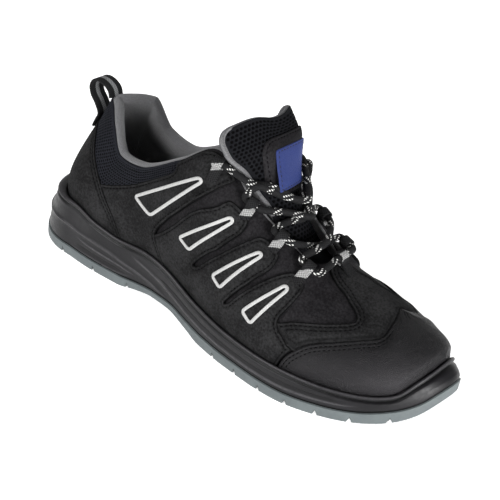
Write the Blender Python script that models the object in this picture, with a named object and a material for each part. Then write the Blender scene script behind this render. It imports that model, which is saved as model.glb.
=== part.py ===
# Safety shoe for the right foot: moulded two-part sole, hollow lasted upper with leather overlays,
# padded tongue, laces in webbing loops and a pull loop at the heel.
# X runs from heel to toe, +Y is the inner (medial) side of the foot and Z is up from the floor.

import math

import bmesh
import bpy
import numpy as np
from mathutils import Vector
from mathutils.geometry import delaunay_2d_cdt

# Sizes are in millimetres. A station is a distance from the heel end of the sole.
MM = 0.001
SOLE_LENGTH = 300.0
HEEL_REACH = 36.0
TOE_REACH = {"lateral": 92.0, "medial": 106.0}
TOE_TIP_Y = 3.0
PIECE_GAP = 0.3

# Sole outline before its ends are rounded: half widths each side of the middle line
OUTLINE_COLUMNS = ("station", "lateral", "medial")
OUTLINE_ROWS = (
    (0, 37.0, 35.5),
    (36, 37.5, 35.5),
    (60, 39.0, 37.0),
    (90, 38.0, 33.0),
    (120, 40.0, 29.0),
    (150, 46.0, 31.0),
    (180, 52.0, 39.0),
    (210, 54.5, 47.0),
    (235, 54.5, 51.0),
    (300, 54.5, 51.5),
)

# Heights along the sole, and how far the upper's foot stands in from the sole's edge
SOLE_COLUMNS = ("station", "tread", "tread_thickness", "deck", "rim", "rim_inset")
SOLE_ROWS = (
    (0, 3.5, 5.0, 25.0, 36.0, 16.0),
    (14, 0.0, 6.0, 24.5, 37.0, 12.5),
    (36, 0.0, 6.5, 24.0, 37.0, 8.0),
    (60, 0.0, 6.5, 23.5, 33.5, 5.5),
    (82, 0.0, 6.5, 22.5, 30.5, 5.5),
    (98, 3.6, 5.0, 21.5, 33.0, 5.0),
    (112, 6.3, 4.0, 20.5, 32.5, 5.0),
    (126, 6.4, 4.0, 19.0, 29.0, 5.0),
    (145, 3.0, 5.0, 16.5, 24.5, 5.0),
    (158, 0.0, 6.5, 14.5, 22.7, 5.0),
    (200, 0.0, 6.5, 12.5, 21.0, 5.0),
    (218, 0.0, 6.5, 12.5, 21.2, 5.0),
    (245, 2.2, 6.5, 14.0, 21.8, 5.0),
    (265, 4.8, 6.8, 16.0, 22.8, 5.5),
    (282, 9.0, 7.5, 19.5, 26.0, 6.5),
    (292, 14.2, 7.5, 23.5, 35.0, 9.0),
    (300, 23.0, 7.5, 28.0, 41.0, 12.0),
)

# Sections of the upper: where its top line runs and how each wall rises to it
VAMP_POINT = 216.0
SECTION_COLUMNS = (
    "station", "top_x", "lateral_y", "medial_y", "lateral_z", "medial_z",
    "rise", "bulge", "pull", "drop", "fall",
)
SECTION_ROWS = (
    (0, 33.0, 0.0, 0.0, 98.5, 98.5, 0.33, 1.0, 0.36, 0.35, 0.0),
    (14, 40.0, -7.5, 12.5, 95.0, 99.0, 0.33, 1.0, 0.36, 0.35, 0.0),
    (30, 49.0, -15.0, 21.0, 88.0, 98.0, 0.36, 2.0, 0.36, 0.35, 0.0),
    (50, 62.0, -21.8, 25.5, 76.3, 80.0, 0.40, 2.0, 0.30, 0.35, 0.0),
    (75, 80.5, -25.6, 26.0, 78.6, 75.8, 0.40, 3.0, 0.40, 0.30, 0.0),
    (105, 109.5, -25.8, 25.0, 96.0, 90.5, 0.42, 3.0, 0.60, 0.20, 0.0),
    (130, 133.0, -22.0, 21.0, 112.0, 111.0, 0.45, 3.0, 0.75, 0.15, 0.0),
    (158, 160.0, -19.5, 19.0, 90.0, 88.5, 0.45, 2.0, 0.55, 0.12, 0.0),
    (185, 184.0, -17.0, 16.6, 77.0, 75.4, 0.48, 2.0, 0.52, 0.12, 0.0),
    (203, 201.0, -12.0, 13.5, 67.0, 66.4, 0.48, 1.0, 0.50, 0.08, -0.1),
    (210, 205.5, -5.0, 10.0, 64.8, 65.0, 0.48, 1.0, 0.50, 0.03, -0.15),
    (216, 207.0, 4.0, 4.0, 63.5, 63.5, 0.48, 1.0, 0.50, 0.0, -0.2),
    (235, 222.0, 6.0, 6.0, 58.8, 58.8, 0.48, 1.0, 0.50, 0.0, -0.25),
    (260, 240.0, 7.0, 7.0, 54.8, 54.8, 0.50, 1.0, 0.50, 0.0, -0.27),
    (283, 254.0, 7.0, 7.0, 52.8, 52.8, 0.58, 1.0, 0.52, 0.0, -0.27),
    (300, 259.0, 7.0, 7.0, 51.8, 51.8, 0.75, 1.0, 0.54, 0.0, -0.27),
)
SKIRT_PER_SHARE = 60.0
WALL = 2.2
COLLAR_PAD = 5.0
COLLAR_PAD_END = (112.0, 138.0)
COLLAR_PAD_RISE = (0.45, 0.9)
UPPER_SHARES = (0.0, 0.12, 0.25, 0.4, 0.55, 0.7, 0.85, 1.0)
LINING_SHARES = (1.0, 0.85, 0.6, 0.3, 0.0)

# Overlays of leather on the upper
OVERLAY_GAP = 0.55
OVERLAY = 1.2
OVERLAY_TUCK = -0.05
EDGE_STEP = 7.0
GIRTH = 75.0
HALF_ROUND = 345.0

# Insole
INSOLE = 3.5
INSOLE_GAP = 0.5

# Sole sides, from the rim down: share of the height, share of the lean towards the rim, depth of a groove
SIDE_ROWS = (
    (1.00, 1.00, 0.3),
    (0.95, 0.97, 0.0),
    (0.88, 0.93, 0.0),
    (0.83, 0.88, 1.2),
    (0.74, 0.70, 0.2),
    (0.54, 0.40, 0.0),
    (0.49, 0.34, 1.2),
    (0.42, 0.24, 0.2),
    (0.12, 0.04, 0.0),
    (0.00, 0.00, 0.8),
)
RIM_LIP = 2.2
# The rim is a wide ledge round the heel: how much wider, and the stations where that fades out
HEEL_LEDGE = 4.3
HEEL_LEDGE_END = (10.0, 50.0)
TREAD_CHAMFER = 1.0
GROOVE_WIDTH = 2.6
GROOVE_DEPTH = 3.6
# First groove across the tread, pitch and number of grooves, then the grooves along its flat spots
FOREFOOT_GROOVES = (171.0, 18.5, 7)
HEEL_GROOVES = (35.0, 28.0, 3)
GROOVES_ALONG = ((160.0, 217.0), (16.0, 80.0))

# Tongue: front face at its middle, half width, how far its edges sweep back, thickness
TONGUE_COLUMNS = ("share", "x", "z", "half_width", "sweep", "thickness")
TONGUE_ROWS = (
    (0.00, 226.0, 52.0, 16.0, 2.0, 3.0),
    (0.17, 207.0, 57.6, 17.5, 3.5, 4.0),
    (0.28, 195.5, 65.2, 17.5, 6.0, 5.0),
    (0.40, 185.5, 76.6, 16.0, 7.0, 6.5),
    (0.52, 177.5, 90.0, 15.0, 6.0, 7.5),
    (0.64, 171.0, 101.0, 18.5, 8.5, 8.5),
    (0.76, 165.0, 112.0, 22.8, 9.5, 9.0),
    (0.88, 157.5, 124.0, 33.0, 9.5, 9.0),
    (1.00, 147.0, 135.5, 34.5, 9.0, 6.0),
)
TONGUE_STEPS = 14
TONGUE_ACROSS = 8
TONGUE_EDGE = 0.4
FACING_ACROSS = (-15.5, 25.0)
FACING_ALONG = (0.59, 0.89)
FACING_STEPS = (9, 10)
LABEL_ACROSS = (-8.3, 17.0)
LABEL_ALONG = (0.625, 0.825)
LABEL_STEPS = (6, 6)
PATCH = 1.0
PATCH_REACH = 0.9

# Webbing loops for the lace: station and share where each strap starts on the upper, and its lift off it
LOOP_ROWS = (
    (205.0, 0.80, 1.0),
    (184.5, 0.86, 0.9),
    (160.0, 0.875, 0.8),
    (136.0, 0.83, OVERLAY_GAP + OVERLAY + 0.4),
)
LOOP_FRONT = (226.0, 1.0, OVERLAY_GAP + OVERLAY + 2 * PIECE_GAP)
LOOP_STRAP = 5.0
LOOP_BORE = 2.7
LOOP_BAND = 1.0
LOOP_WIDTH = 5.6
LOOP_SIDES = 11
LOOP_WRAP = 1.25 * math.pi
LOOP_THROAT = (0.6, 0.4)

# Lace: each strand's way over the tongue, from the loop below on the lateral side to the one above it,
# as share along the tongue, share across it and height off it.
# Its mirror image comes from the medial side, and one of the two passes on top.
LACE_RADIUS = 2.1
LACE_STEP = 8.0
LACE_TURN = (5.7, 0.2)
LACE_END = 0.65
CROSSINGS = (
    ((0.30, 0.0, 6.5),),
    ((0.46, -0.75, 3.6), (0.45, 0.0, 2.9), (0.505, 0.75, 3.6)),
    ((0.685, -1.2, 9.6), (0.61, -0.79, 5.5), (0.53, 0.0, 3.6), (0.66, 0.83, 5.3), (0.71, 1.18, 5.0)),
)
ON_TOP = ("lateral", "medial", "lateral")
PASS_OVER = 2 * LACE_RADIUS + 0.7

# Pull loop of webbing over the heel: shares of the upper where it is sewn to the counter, and its free arc
# from there down to the collar's rim, in the plane of the heel seam (station, height)
PULL_SEAT = (0.62, 0.70, 0.78)
PULL_ARC = (
    (22.5, 91.0), (18.2, 96.0), (16.8, 101.0), (18.6, 105.2), (22.8, 106.8), (28.0, 106.0), (32.2, 103.2),
    (33.8, 99.2),
)
PULL_WIDTH = 12.0
PULL_BAND = 1.6
PULL_STEP = 5.0

# Colours and finish: base colour, roughness
FINISHES = {
    "leather": ((0.022, 0.022, 0.024), 0.75),
    "cap": ((0.045, 0.042, 0.048), 0.6),
    "midsole": ((0.048, 0.045, 0.052), 0.5),
    "outsole": ((0.34, 0.41, 0.41), 0.6),
    "lining": ((0.15, 0.15, 0.155), 0.9),
    "fabric": ((0.02, 0.022, 0.028), 0.9),
    "webbing": ((0.3, 0.3, 0.31), 0.85),
    "label": ((0.05, 0.08, 0.35), 0.6),
}


def clear_scene():
    for item in list(bpy.data.objects):
        bpy.data.objects.remove(item, do_unlink=True)


def column(rows, names, name):
    return np.array([row[names.index(name)] for row in rows], float)


# A smooth curve through the rows that never overshoots them
def smooth(x, xs, ys):
    width = np.diff(xs)
    slope = np.diff(ys) / width
    tangent = np.concatenate([[slope[0]], np.zeros(len(slope) - 1), [slope[-1]]])
    for k in range(1, len(slope)):
        if slope[k - 1] * slope[k] > 0:
            before = 2 * width[k] + width[k - 1]
            after = width[k] + 2 * width[k - 1]
            tangent[k] = (before + after) / (before / slope[k - 1] + after / slope[k])
    k = np.clip(np.searchsorted(xs, x) - 1, 0, len(width) - 1)
    t = (x - xs[k]) / width[k]
    start = (1 + 2 * t) * (1 - t) ** 2 * ys[k] + t * (1 - t) ** 2 * width[k] * tangent[k]
    end = t * t * (3 - 2 * t) * ys[k + 1] + t * t * (t - 1) * width[k] * tangent[k + 1]
    return start + end


# A column of a table read at places along the table's first column
def table_at(places, rows, names, name):
    return smooth(places, column(rows, names, names[0]), column(rows, names, name))


def sole_at(stations, name):
    return table_at(stations, SOLE_ROWS, SOLE_COLUMNS, name)


# Places round the foot: 0 at the heel, 1 at the toe along the lateral side, 2 at the heel again
def around_of(stations, side):
    share = np.arccos(1 - 2 * np.asarray(stations, float) / SOLE_LENGTH) / np.pi
    return share if side == "lateral" else 2 - share


def station_of(around):
    return SOLE_LENGTH * (1 - np.cos(np.pi * np.asarray(around))) / 2


def outline(around):
    around = np.mod(around, 2)
    lateral = around <= 1
    stations = station_of(around)
    edges = {side: table_at(stations, OUTLINE_ROWS, OUTLINE_COLUMNS, side) for side in TOE_REACH}
    y = np.where(lateral, -edges["lateral"], edges["medial"])
    y = y * np.sqrt(1 - np.clip(1 - stations / HEEL_REACH, 0, 1) ** 2)
    reach = np.where(lateral, TOE_REACH["lateral"], TOE_REACH["medial"])
    closing = np.clip((stations - SOLE_LENGTH + reach) / reach, 0, 1)
    y = np.where(closing > 0, TOE_TIP_Y + (y - TOE_TIP_Y) * np.sqrt(1 - closing ** 2), y)
    return np.stack([stations - SOLE_LENGTH / 2, y], -1)


def outward(around):
    step = 0.002
    along = outline(around + step) - outline(around - step)
    sideways = np.stack([along[..., 1], -along[..., 0]], -1)
    return sideways / np.linalg.norm(sideways, axis=-1, keepdims=True)


def inset_ring(around, inset, z):
    flat = outline(around) - outward(around) * np.asarray(inset)[..., None]
    return np.concatenate([flat, np.broadcast_to(z, np.shape(around))[..., None]], -1)


# Foot of the upper, level with the top of the sole's rim
def feather(around):
    stations = station_of(around)
    return inset_ring(around, sole_at(stations, "rim_inset"), sole_at(stations, "rim"))


def section_at(around, lateral, medial):
    share = around_of(column(SECTION_ROWS, SECTION_COLUMNS, "station"), "lateral")
    places = np.concatenate([share, 2 - share[-2:0:-1]])
    values = np.concatenate([
        column(SECTION_ROWS, SECTION_COLUMNS, lateral),
        column(SECTION_ROWS, SECTION_COLUMNS, medial)[-2:0:-1],
    ])
    places = np.concatenate([places[-2:] - 2, places, places[:2] + 2])
    values = np.concatenate([values[-2:], values, values[:2]])
    return smooth(np.mod(around, 2), places, values)


# Top edge of the upper: collar, throat, and past the vamp point the ridge where both sides meet
def top_line(around):
    def one_side(place):
        return np.stack([
            section_at(place, "top_x", "top_x") - SOLE_LENGTH / 2,
            section_at(place, "lateral_y", "medial_y"),
            section_at(place, "lateral_z", "medial_z"),
        ], -1)

    line = one_side(around)
    ridge = (line + one_side(2 - around)) / 2
    return np.where((station_of(around) >= VAMP_POINT)[..., None], ridge, line)


# The last's surface: share 0 at the rim, 1 at the top line, and below 0 the skirt inside the sole
def surface(around, share):
    around = np.asarray(around, float)
    foot = feather(around)
    top = top_line(around)
    height = top[..., 2] - foot[..., 2]
    reach = foot[..., :2] - top[..., :2]
    names = ("rise", "bulge", "pull", "drop", "fall")
    rise, bulge, pull, drop, fall = (section_at(around, name, name) for name in names)
    low = foot.copy()
    low[..., :2] += outward(around) * bulge[..., None]
    low[..., 2] += rise * height
    high = top.copy()
    high[..., :2] += reach * pull[..., None]
    high[..., 2] += fall * pull * reach[..., 0] - drop * height
    t = np.clip(share, 0, 1)[..., None]
    curve = (1 - t) ** 3 * foot + 3 * (1 - t) ** 2 * t * low + 3 * (1 - t) * t ** 2 * high + t ** 3 * top
    curve[..., 2] += np.minimum(share, 0) * SKIRT_PER_SHARE
    return curve


def surface_normal(around, share):
    step = 0.003
    share = np.minimum(share, 1 - 2 * step)
    along = surface(around + step, share) - surface(around - step, share)
    up = surface(around, share + step) - surface(around, share - step)
    normal = np.cross(along, up)
    return normal / np.linalg.norm(normal, axis=-1, keepdims=True)


# A point of the last moved off its surface; the two sides share one normal along the ridge
def skin(around, share, offset):
    around = np.asarray(around, float)
    share = np.broadcast_to(np.asarray(share, float), around.shape)
    normal = surface_normal(around, share)
    ridge = (share > 0.999) & (station_of(around) >= VAMP_POINT)
    both = normal + surface_normal(2 - around, share)
    both = both / np.linalg.norm(both, axis=-1, keepdims=True)
    normal = np.where(ridge[..., None], both, normal)
    return surface(around, share) + normal * np.asarray(offset)[..., None]


# Sections of the upper, closer together round the end of the throat
def ring_places():
    vamp = around_of(VAMP_POINT, "lateral")
    shares = np.concatenate([
        np.linspace(0, 0.585, 21)[:-1],
        np.linspace(0.585, vamp, 6)[:-1],
        np.linspace(vamp, 1, 13),
    ])
    return np.concatenate([shares, 2 - shares[-2:0:-1]])


RING = ring_places()
HALF = len(RING) // 2


def material(finish):
    made = bpy.data.materials.get(finish)
    if made is None:
        colour, roughness = FINISHES[finish]
        made = bpy.data.materials.new(finish)
        made.use_nodes = True
        shader = made.node_tree.nodes["Principled BSDF"]
        shader.inputs["Base Color"].default_value = (*colour, 1)
        shader.inputs["Roughness"].default_value = roughness
        made.diffuse_color = (*colour, 1)
    return made


# Every piece hangs on one empty, which puts the origin under the middle of the sole's width
def shoe_frame():
    frame = bpy.data.objects.get("shoe")
    if frame is None:
        frame = bpy.data.objects.new("shoe", None)
        edge = outline(RING)[:, 1]
        frame.location.y = -(edge.min() + edge.max()) / 2 * MM
        bpy.context.scene.collection.objects.link(frame)
    return frame


def place_piece(name, shape, finish):
    shape.materials.append(material(finish))
    piece = bpy.data.objects.new(name, shape)
    bpy.context.scene.collection.objects.link(piece)
    piece.parent = shoe_frame()
    return piece


def add_solid(name, points, faces, finish):
    mesh = bpy.data.meshes.new(name)
    mesh.from_pydata([tuple(point) for point in np.asarray(points) * MM], [], faces)
    shape = bmesh.new()
    shape.from_mesh(mesh)
    bmesh.ops.remove_doubles(shape, verts=shape.verts, dist=1e-6)
    bmesh.ops.recalc_face_normals(shape, faces=shape.faces)
    shape.to_mesh(mesh)
    shape.free()
    return place_piece(name, mesh, finish)


# Quads between neighbouring rings, each ring closed on itself
def ring_faces(rings, size, keep=None):
    faces = []
    for row in range(rings - 1):
        for i in range(size):
            j = (i + 1) % size
            if keep is None or keep(row, i, j):
                faces.append((row * size + i, row * size + j, (row + 1) * size + j, (row + 1) * size + i))
    return faces


# A ring closed by strips from its lateral to its medial side
def cap_faces(start):
    faces = [(start, start + 1, start + 2 * HALF - 1)]
    for i in range(1, HALF - 1):
        faces.append((start + i, start + i + 1, start + 2 * HALF - i - 1, start + 2 * HALF - i))
    faces.append((start + HALF - 1, start + HALF, start + HALF + 1))
    return faces


def build_rings(name, rings, finish):
    size = len(RING)
    faces = ring_faces(len(rings), size) + cap_faces(0) + cap_faces((len(rings) - 1) * size)
    return add_solid(name, np.concatenate(rings), faces, finish)


# A cutter of triangular grooves, pointed upwards
def add_grooves(name, grooves):
    points, faces = [], []
    for corners in grooves:
        start = len(points)
        points += corners
        faces += [(start, start + 1, start + 2), (start + 3, start + 5, start + 4)]
        faces += [(start + i, start + 3 + i, start + 3 + (i + 1) % 3, start + (i + 1) % 3) for i in range(3)]
    cutter = add_solid(name, points, faces, "outsole")
    cutter.hide_render = True
    cutter.display_type = "WIRE"
    return cutter


def cut(solid, cutter):
    boolean = solid.modifiers.new(cutter.name, "BOOLEAN")
    boolean.operation = "DIFFERENCE"
    boolean.solver = "EXACT"
    boolean.object = cutter


def groove_across(station):
    floor = float(sole_at(np.array(station), "tread"))
    x = station - SOLE_LENGTH / 2
    below = floor - GROOVE_DEPTH
    profile = ((x - GROOVE_WIDTH, below), (x + GROOVE_WIDTH, below), (x, floor + GROOVE_DEPTH))
    return [(px, y, pz) for y in (-SOLE_LENGTH / 4, SOLE_LENGTH / 4) for px, pz in profile]


def groove_along(start, end):
    profile = ((-GROOVE_WIDTH, -GROOVE_DEPTH), (GROOVE_WIDTH, -GROOVE_DEPTH), (0.0, GROOVE_DEPTH))
    return [(station - SOLE_LENGTH / 2, y, z) for station in (start, end) for y, z in profile]


def build_outsole():
    stations = station_of(RING)
    tread = sole_at(stations, "tread")
    top = tread + sole_at(stations, "tread_thickness")
    rings = [
        inset_ring(RING, np.full(len(RING), TREAD_CHAMFER), tread),
        inset_ring(RING, np.zeros(len(RING)), tread + TREAD_CHAMFER),
        inset_ring(RING, np.zeros(len(RING)), top),
    ]
    outsole = build_rings("outsole", rings, "outsole")
    across = []
    for start, pitch, count in (FOREFOOT_GROOVES, HEEL_GROOVES):
        across += [groove_across(start + pitch * i) for i in range(count)]
    cut(outsole, add_grooves("grooves_across", across))
    cut(outsole, add_grooves("grooves_along", [groove_along(*ends) for ends in GROOVES_ALONG]))


def build_midsole():
    stations = station_of(RING)
    bottom = sole_at(stations, "tread") + sole_at(stations, "tread_thickness") + PIECE_GAP
    rim = sole_at(stations, "rim")
    seat = sole_at(stations, "rim_inset") - 2 * OVERLAY_GAP - OVERLAY
    lip = RIM_LIP + HEEL_LEDGE * (1 - ease(stations, *HEEL_LEDGE_END))
    rings = [inset_ring(RING, seat, sole_at(stations, "deck")), inset_ring(RING, seat, rim)]
    for height, lean, groove in SIDE_ROWS:
        rings.append(inset_ring(RING, (seat - lip) * lean + groove, bottom + (rim - bottom) * height))
    build_rings("midsole", rings, "midsole")


def build_insole():
    stations = station_of(RING)
    inset = sole_at(stations, "rim_inset") + WALL + INSOLE_GAP
    floor = sole_at(stations, "deck") + PIECE_GAP
    build_rings("insole", [inset_ring(RING, inset, floor), inset_ring(RING, inset, floor + INSOLE)], "lining")


def ease(value, start, end):
    t = np.clip((value - start) / (end - start), 0, 1)
    return t * t * (3 - 2 * t)


def wall_thickness(around, share):
    padded = 1 - ease(station_of(around), *COLLAR_PAD_END)
    return WALL + COLLAR_PAD * padded * ease(share, *COLLAR_PAD_RISE)


def build_upper():
    stations = station_of(RING)
    drop = sole_at(stations, "rim") - sole_at(stations, "deck") - PIECE_GAP
    low = -drop / SKIRT_PER_SHARE
    rings = [skin(RING, low, np.zeros(len(RING)))]
    rings += [skin(RING, share, np.zeros(len(RING))) for share in UPPER_SHARES]
    rings += [skin(RING, share, -wall_thickness(RING, share)) for share in LINING_SHARES]
    rings += [skin(RING, low, np.full(len(RING), -WALL))]
    rings.append(rings[0])
    top_row = len(UPPER_SHARES)

    # The top edge is closed over the ridge, so it has no rim of its own there
    def open_edge(row, i, j):
        return row != top_row or min(stations[i], stations[j]) < VAMP_POINT - 0.01

    faces = ring_faces(len(rings), len(RING), open_edge)
    add_solid("upper", np.concatenate(rings), faces, "leather")


# Outlines of overlays: station, share of the upper, and the size of the rounding at that corner
def chart(station, share):
    return np.array([around_of(station, "lateral") * HALF_ROUND, share * GIRTH])


def chart_outline(rows):
    corners = [chart(station, share) for station, share, _ in rows]
    points = []
    for i, (_, _, rounding) in enumerate(rows):
        corner = corners[i]
        if not rounding:
            points.append(corner)
            continue
        ends = []
        for other in (corners[i - 1], corners[(i + 1) % len(rows)]):
            length = np.linalg.norm(other - corner)
            ends.append(corner + (other - corner) * min(0.5, rounding / length))
        for t in np.linspace(0, 1, 4):
            points.append((1 - t) ** 2 * ends[0] + 2 * t * (1 - t) * corner + t * t * ends[1])
    dense = []
    for i, point in enumerate(points):
        following = points[(i + 1) % len(points)]
        count = max(1, math.ceil(np.linalg.norm(following - point) / EDGE_STEP))
        dense += [point + (following - point) * k / count for k in range(count)]
    kept = [point for i, point in enumerate(dense) if np.linalg.norm(point - dense[i - 1]) > 1e-6]
    return np.array(kept)


def distance_inside(point, polygon):
    start, end = polygon, np.roll(polygon, -1, axis=0)
    along = end - start
    t = np.clip(((point - start) * along).sum(1) / (along ** 2).sum(1), 0, 1)
    near = np.linalg.norm(point - start - along * t[:, None], axis=1).min()
    with np.errstate(divide="ignore", invalid="ignore"):
        cross_x = start[:, 0] + (point[1] - start[:, 1]) * along[:, 0] / along[:, 1]
    crossed = ((start[:, 1] > point[1]) != (end[:, 1] > point[1])) & (point[0] < cross_x)
    return near if crossed.sum() % 2 else -near


# One side of an overlay: two skins off the last and a wall round every edge but those on a middle line
def overlay_side(rows, side, low, high):
    edge = chart_outline(rows)
    grid = [np.array([a * HALF_ROUND, b * GIRTH]) for a in RING[:HALF + 1] for b in UPPER_SHARES]
    # One more point where the ridge meets the toe's middle line, so that no triangle spans that corner
    grid.append(chart(SOLE_LENGTH, 1.0) - EDGE_STEP / 2)
    inner = [point for point in grid if distance_inside(point, edge) > EDGE_STEP / 3]
    flat = [Vector(point) for point in list(edge) + inner]
    flat, _, triangles, *_ = delaunay_2d_cdt(flat, [], [list(range(len(edge)))], 1, 1e-6)
    places = np.array([tuple(point) for point in flat]) / (HALF_ROUND, GIRTH)
    around = places[:, 0] if side == "lateral" else 2 - places[:, 0]
    count = len(places)
    points = np.concatenate([skin(around, places[:, 1], np.full(count, gap)) for gap in (low, high)])
    ridge = (places[:, 1] > 0.9999) & (station_of(places[:, 0]) > VAMP_POINT - 0.01)
    middles = (ridge, places[:, 0] > 0.9999, places[:, 0] < 0.0001)
    faces = [tuple(t) for t in triangles] + [tuple(count + v for v in t) for t in triangles]
    uses = {}
    for t in triangles:
        for a, b in ((t[0], t[1]), (t[1], t[2]), (t[2], t[0])):
            uses.setdefault(frozenset((a, b)), []).append((a, b))
    for pair in uses.values():
        a, b = pair[0]
        if len(pair) == 1 and not any(line[a] and line[b] for line in middles):
            faces.append((a, b, count + b, count + a))
    return points, faces


def build_overlay(name, rows, sides, finish):
    points, faces = [], []
    for side in sides:
        more, more_faces = overlay_side(rows, side, OVERLAY_GAP, OVERLAY_GAP + OVERLAY)
        start = sum(len(part) for part in points)
        points.append(more)
        faces += [tuple(start + v for v in face) for face in more_faces]
    add_solid(name, np.concatenate(points), faces, finish)


TOE_CAP = (
    (216, OVERLAY_TUCK, 0), (219, 0.1, 6), (224, 0.2, 6), (231.7, 0.322, 8), (255.8, 0.503, 12), (271, 0.606, 6),
    (275, 0.77, 8), (280, 0.94, 6), (281.5, 1.0, 0), (300, 1.0, 0), (300, OVERLAY_TUCK, 0),
)
VAMP_BAND = (
    (217.3, 0.93, 0), (216.5, 1.0, 0), (280.7, 1.0, 0), (279.0, 0.94, 6), (274, 0.775, 8),
    (270, 0.621, 6), (254.8, 0.515, 12), (231.1, 0.335, 8), (223.3, 0.215, 0), (219.6, 0.22, 0),
    (209.6, 0.3, 4), (208.3, 0.343, 0), (231.4, 0.49, 10), (252, 0.65, 6), (247.3, 0.73, 6), (234, 0.805, 8),
    (220.8, 0.87, 6),
)
HEEL_COUNTER = (
    (0, OVERLAY_TUCK, 0), (82, OVERLAY_TUCK, 0), (76, 0.136, 10), (66, 0.323, 10), (52, 0.505, 10),
    (36, 0.625, 10), (20, 0.71, 10), (0, 0.73, 0),
)
REAR_QUARTER = (
    (82.8, OVERLAY_TUCK, 0), (118.0, OVERLAY_TUCK, 0), (108.5, 0.105, 8), (105.0, 0.2, 8), (111, 0.31, 6),
    (127, 0.474, 8), (137, 0.63, 8), (143.5, 0.82, 6), (147, 0.96, 3), (130, 0.965, 8), (106, 0.965, 3),
    (107.5, 0.815, 3), (100, 0.782, 8), (82, 0.777, 10), (53.2, 0.513, 0), (66.9, 0.33, 10), (76.8, 0.14, 10),
)
EYESTAY = (
    (119.0, OVERLAY_TUCK, 0), (215.2, OVERLAY_TUCK, 0), (218.2, 0.105, 6), (222.6, 0.193, 0),
    (218.8, 0.205, 0), (208.8, 0.292, 4), (206.3, 0.37, 4), (210.0, 0.51, 8), (211.8, 0.68, 5),
    (201.2, 0.80, 5), (196.2, 0.72, 6), (186, 0.475, 0), (173, 0.195, 3), (169.2, 0.165, 3),
    (181, 0.42, 0), (190, 0.66, 6), (189.5, 0.83, 5), (176, 0.84, 5), (165.6, 0.615, 6), (156, 0.425, 0),
    (144, 0.205, 3), (139, 0.17, 3), (153.5, 0.43, 0), (164.2, 0.7, 6), (163.5, 0.85, 5), (150, 0.82, 5),
    (143.2, 0.61, 6), (117, 0.285, 4), (111, 0.23, 6), (108.5, 0.17, 6), (110.5, 0.105, 8),
)


# The tongue's front face: share along it, -1 to 1 across it
def tongue_at(share, name):
    return table_at(share, TONGUE_ROWS, TONGUE_COLUMNS, name)


def tongue_frame(share):
    step = 0.01
    low, high = np.clip(share - step, 0, 1), np.clip(share + step, 0, 1)
    up = np.stack([tongue_at(high, name) - tongue_at(low, name) for name in ("x", "z")], -1)
    up = up / np.linalg.norm(up, axis=-1, keepdims=True)
    return np.stack([up[..., 1], -up[..., 0]], -1)


def tongue_point(share, across, offset):
    share, across = np.asarray(share, float), np.asarray(across, float)
    facing = tongue_frame(share)
    back = offset - tongue_at(share, "sweep") * across ** 2
    return np.stack([
        tongue_at(share, "x") - SOLE_LENGTH / 2 + facing[..., 0] * back,
        tongue_at(share, "half_width") * across,
        tongue_at(share, "z") + facing[..., 1] * back,
    ], -1)


# Places of a sewn patch: its sides keep their distance from the middle where the tongue is wide enough
def patch_places(along, across, steps):
    places = (np.linspace(*along, steps[0] + 1), np.linspace(0, 1, steps[1] + 1))
    share, part = np.meshgrid(*places, indexing="ij")
    half = tongue_at(share, "half_width")
    lateral = np.maximum(across[0] / half, -PATCH_REACH)
    medial = np.minimum(across[1] / half, PATCH_REACH)
    return share, lateral + (medial - lateral) * part


# A solid between two offsets from the tongue's front face
def tongue_solid(name, share, side, offsets, finish):
    layers = [tongue_point(share, side, offset(share, side)) for offset in offsets]
    rows, columns = share.shape
    points = np.concatenate([layer.reshape(-1, 3) for layer in layers])
    index = np.arange(rows * columns).reshape(rows, columns)
    faces = []
    for start in (0, rows * columns):
        near, far = index[:-1] + start, index[1:] + start
        faces += zip(near[:, :-1].flat, near[:, 1:].flat, far[:, 1:].flat, far[:, :-1].flat)
    border = [*index[0, :-1], *index[:-1, -1], *index[-1, :0:-1], *index[:0:-1, 0]]
    for a, b in zip(border, border[1:] + border[:1]):
        faces.append((a, b, b + rows * columns, a + rows * columns))
    faces = [tuple(int(v) for v in face) for face in faces]
    add_solid(name, points, faces, finish)


def build_tongue():
    def front(share, side):
        return np.zeros_like(share)

    def back(share, side):
        return -tongue_at(share, "thickness") * (1 - (1 - TONGUE_EDGE) * side ** 2)

    def off(distance):
        return lambda share, side: np.full_like(share, distance)

    places = (np.linspace(0, 1, TONGUE_STEPS + 1), np.linspace(-1, 1, TONGUE_ACROSS + 1))
    tongue_solid("tongue", *np.meshgrid(*places, indexing="ij"), (front, back), "fabric")
    facing = (off(PIECE_GAP), off(PIECE_GAP + PATCH))
    tongue_solid("tongue_facing", *patch_places(FACING_ALONG, FACING_ACROSS, FACING_STEPS), facing, "leather")
    label = (off(2 * PIECE_GAP + PATCH), off(2 * PIECE_GAP + 2 * PATCH))
    tongue_solid("tongue_label", *patch_places(LABEL_ALONG, LABEL_ACROSS, LABEL_STEPS), label, "label")


# Frame of a lace loop: where it starts, towards the throat, off the surface, and across the strap
def loop_frame(station, share, lift, side):
    around = np.array([around_of(station, side)])
    start = skin(around, np.array([share]), np.zeros(1))[0]
    off = skin(around, np.array([share]), np.ones(1))[0] - start
    if share < 1:
        inward = skin(around, np.array([share + 0.1]), np.zeros(1))[0] - start
    else:
        inward = np.array([-1.0, 0.0, 0.0])
    inward = inward - off * (inward @ off)
    inward = inward / np.linalg.norm(inward)
    return start + off * lift, inward, off, np.cross(off, inward)


# Where the lace lies in a loop, towards the throat, and along the lace
def loop_bore(row, side):
    start, inward, off, across = loop_frame(*row, side)
    return start + inward * LOOP_STRAP + off * (LOOP_BAND + LOOP_BORE), inward, across


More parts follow.
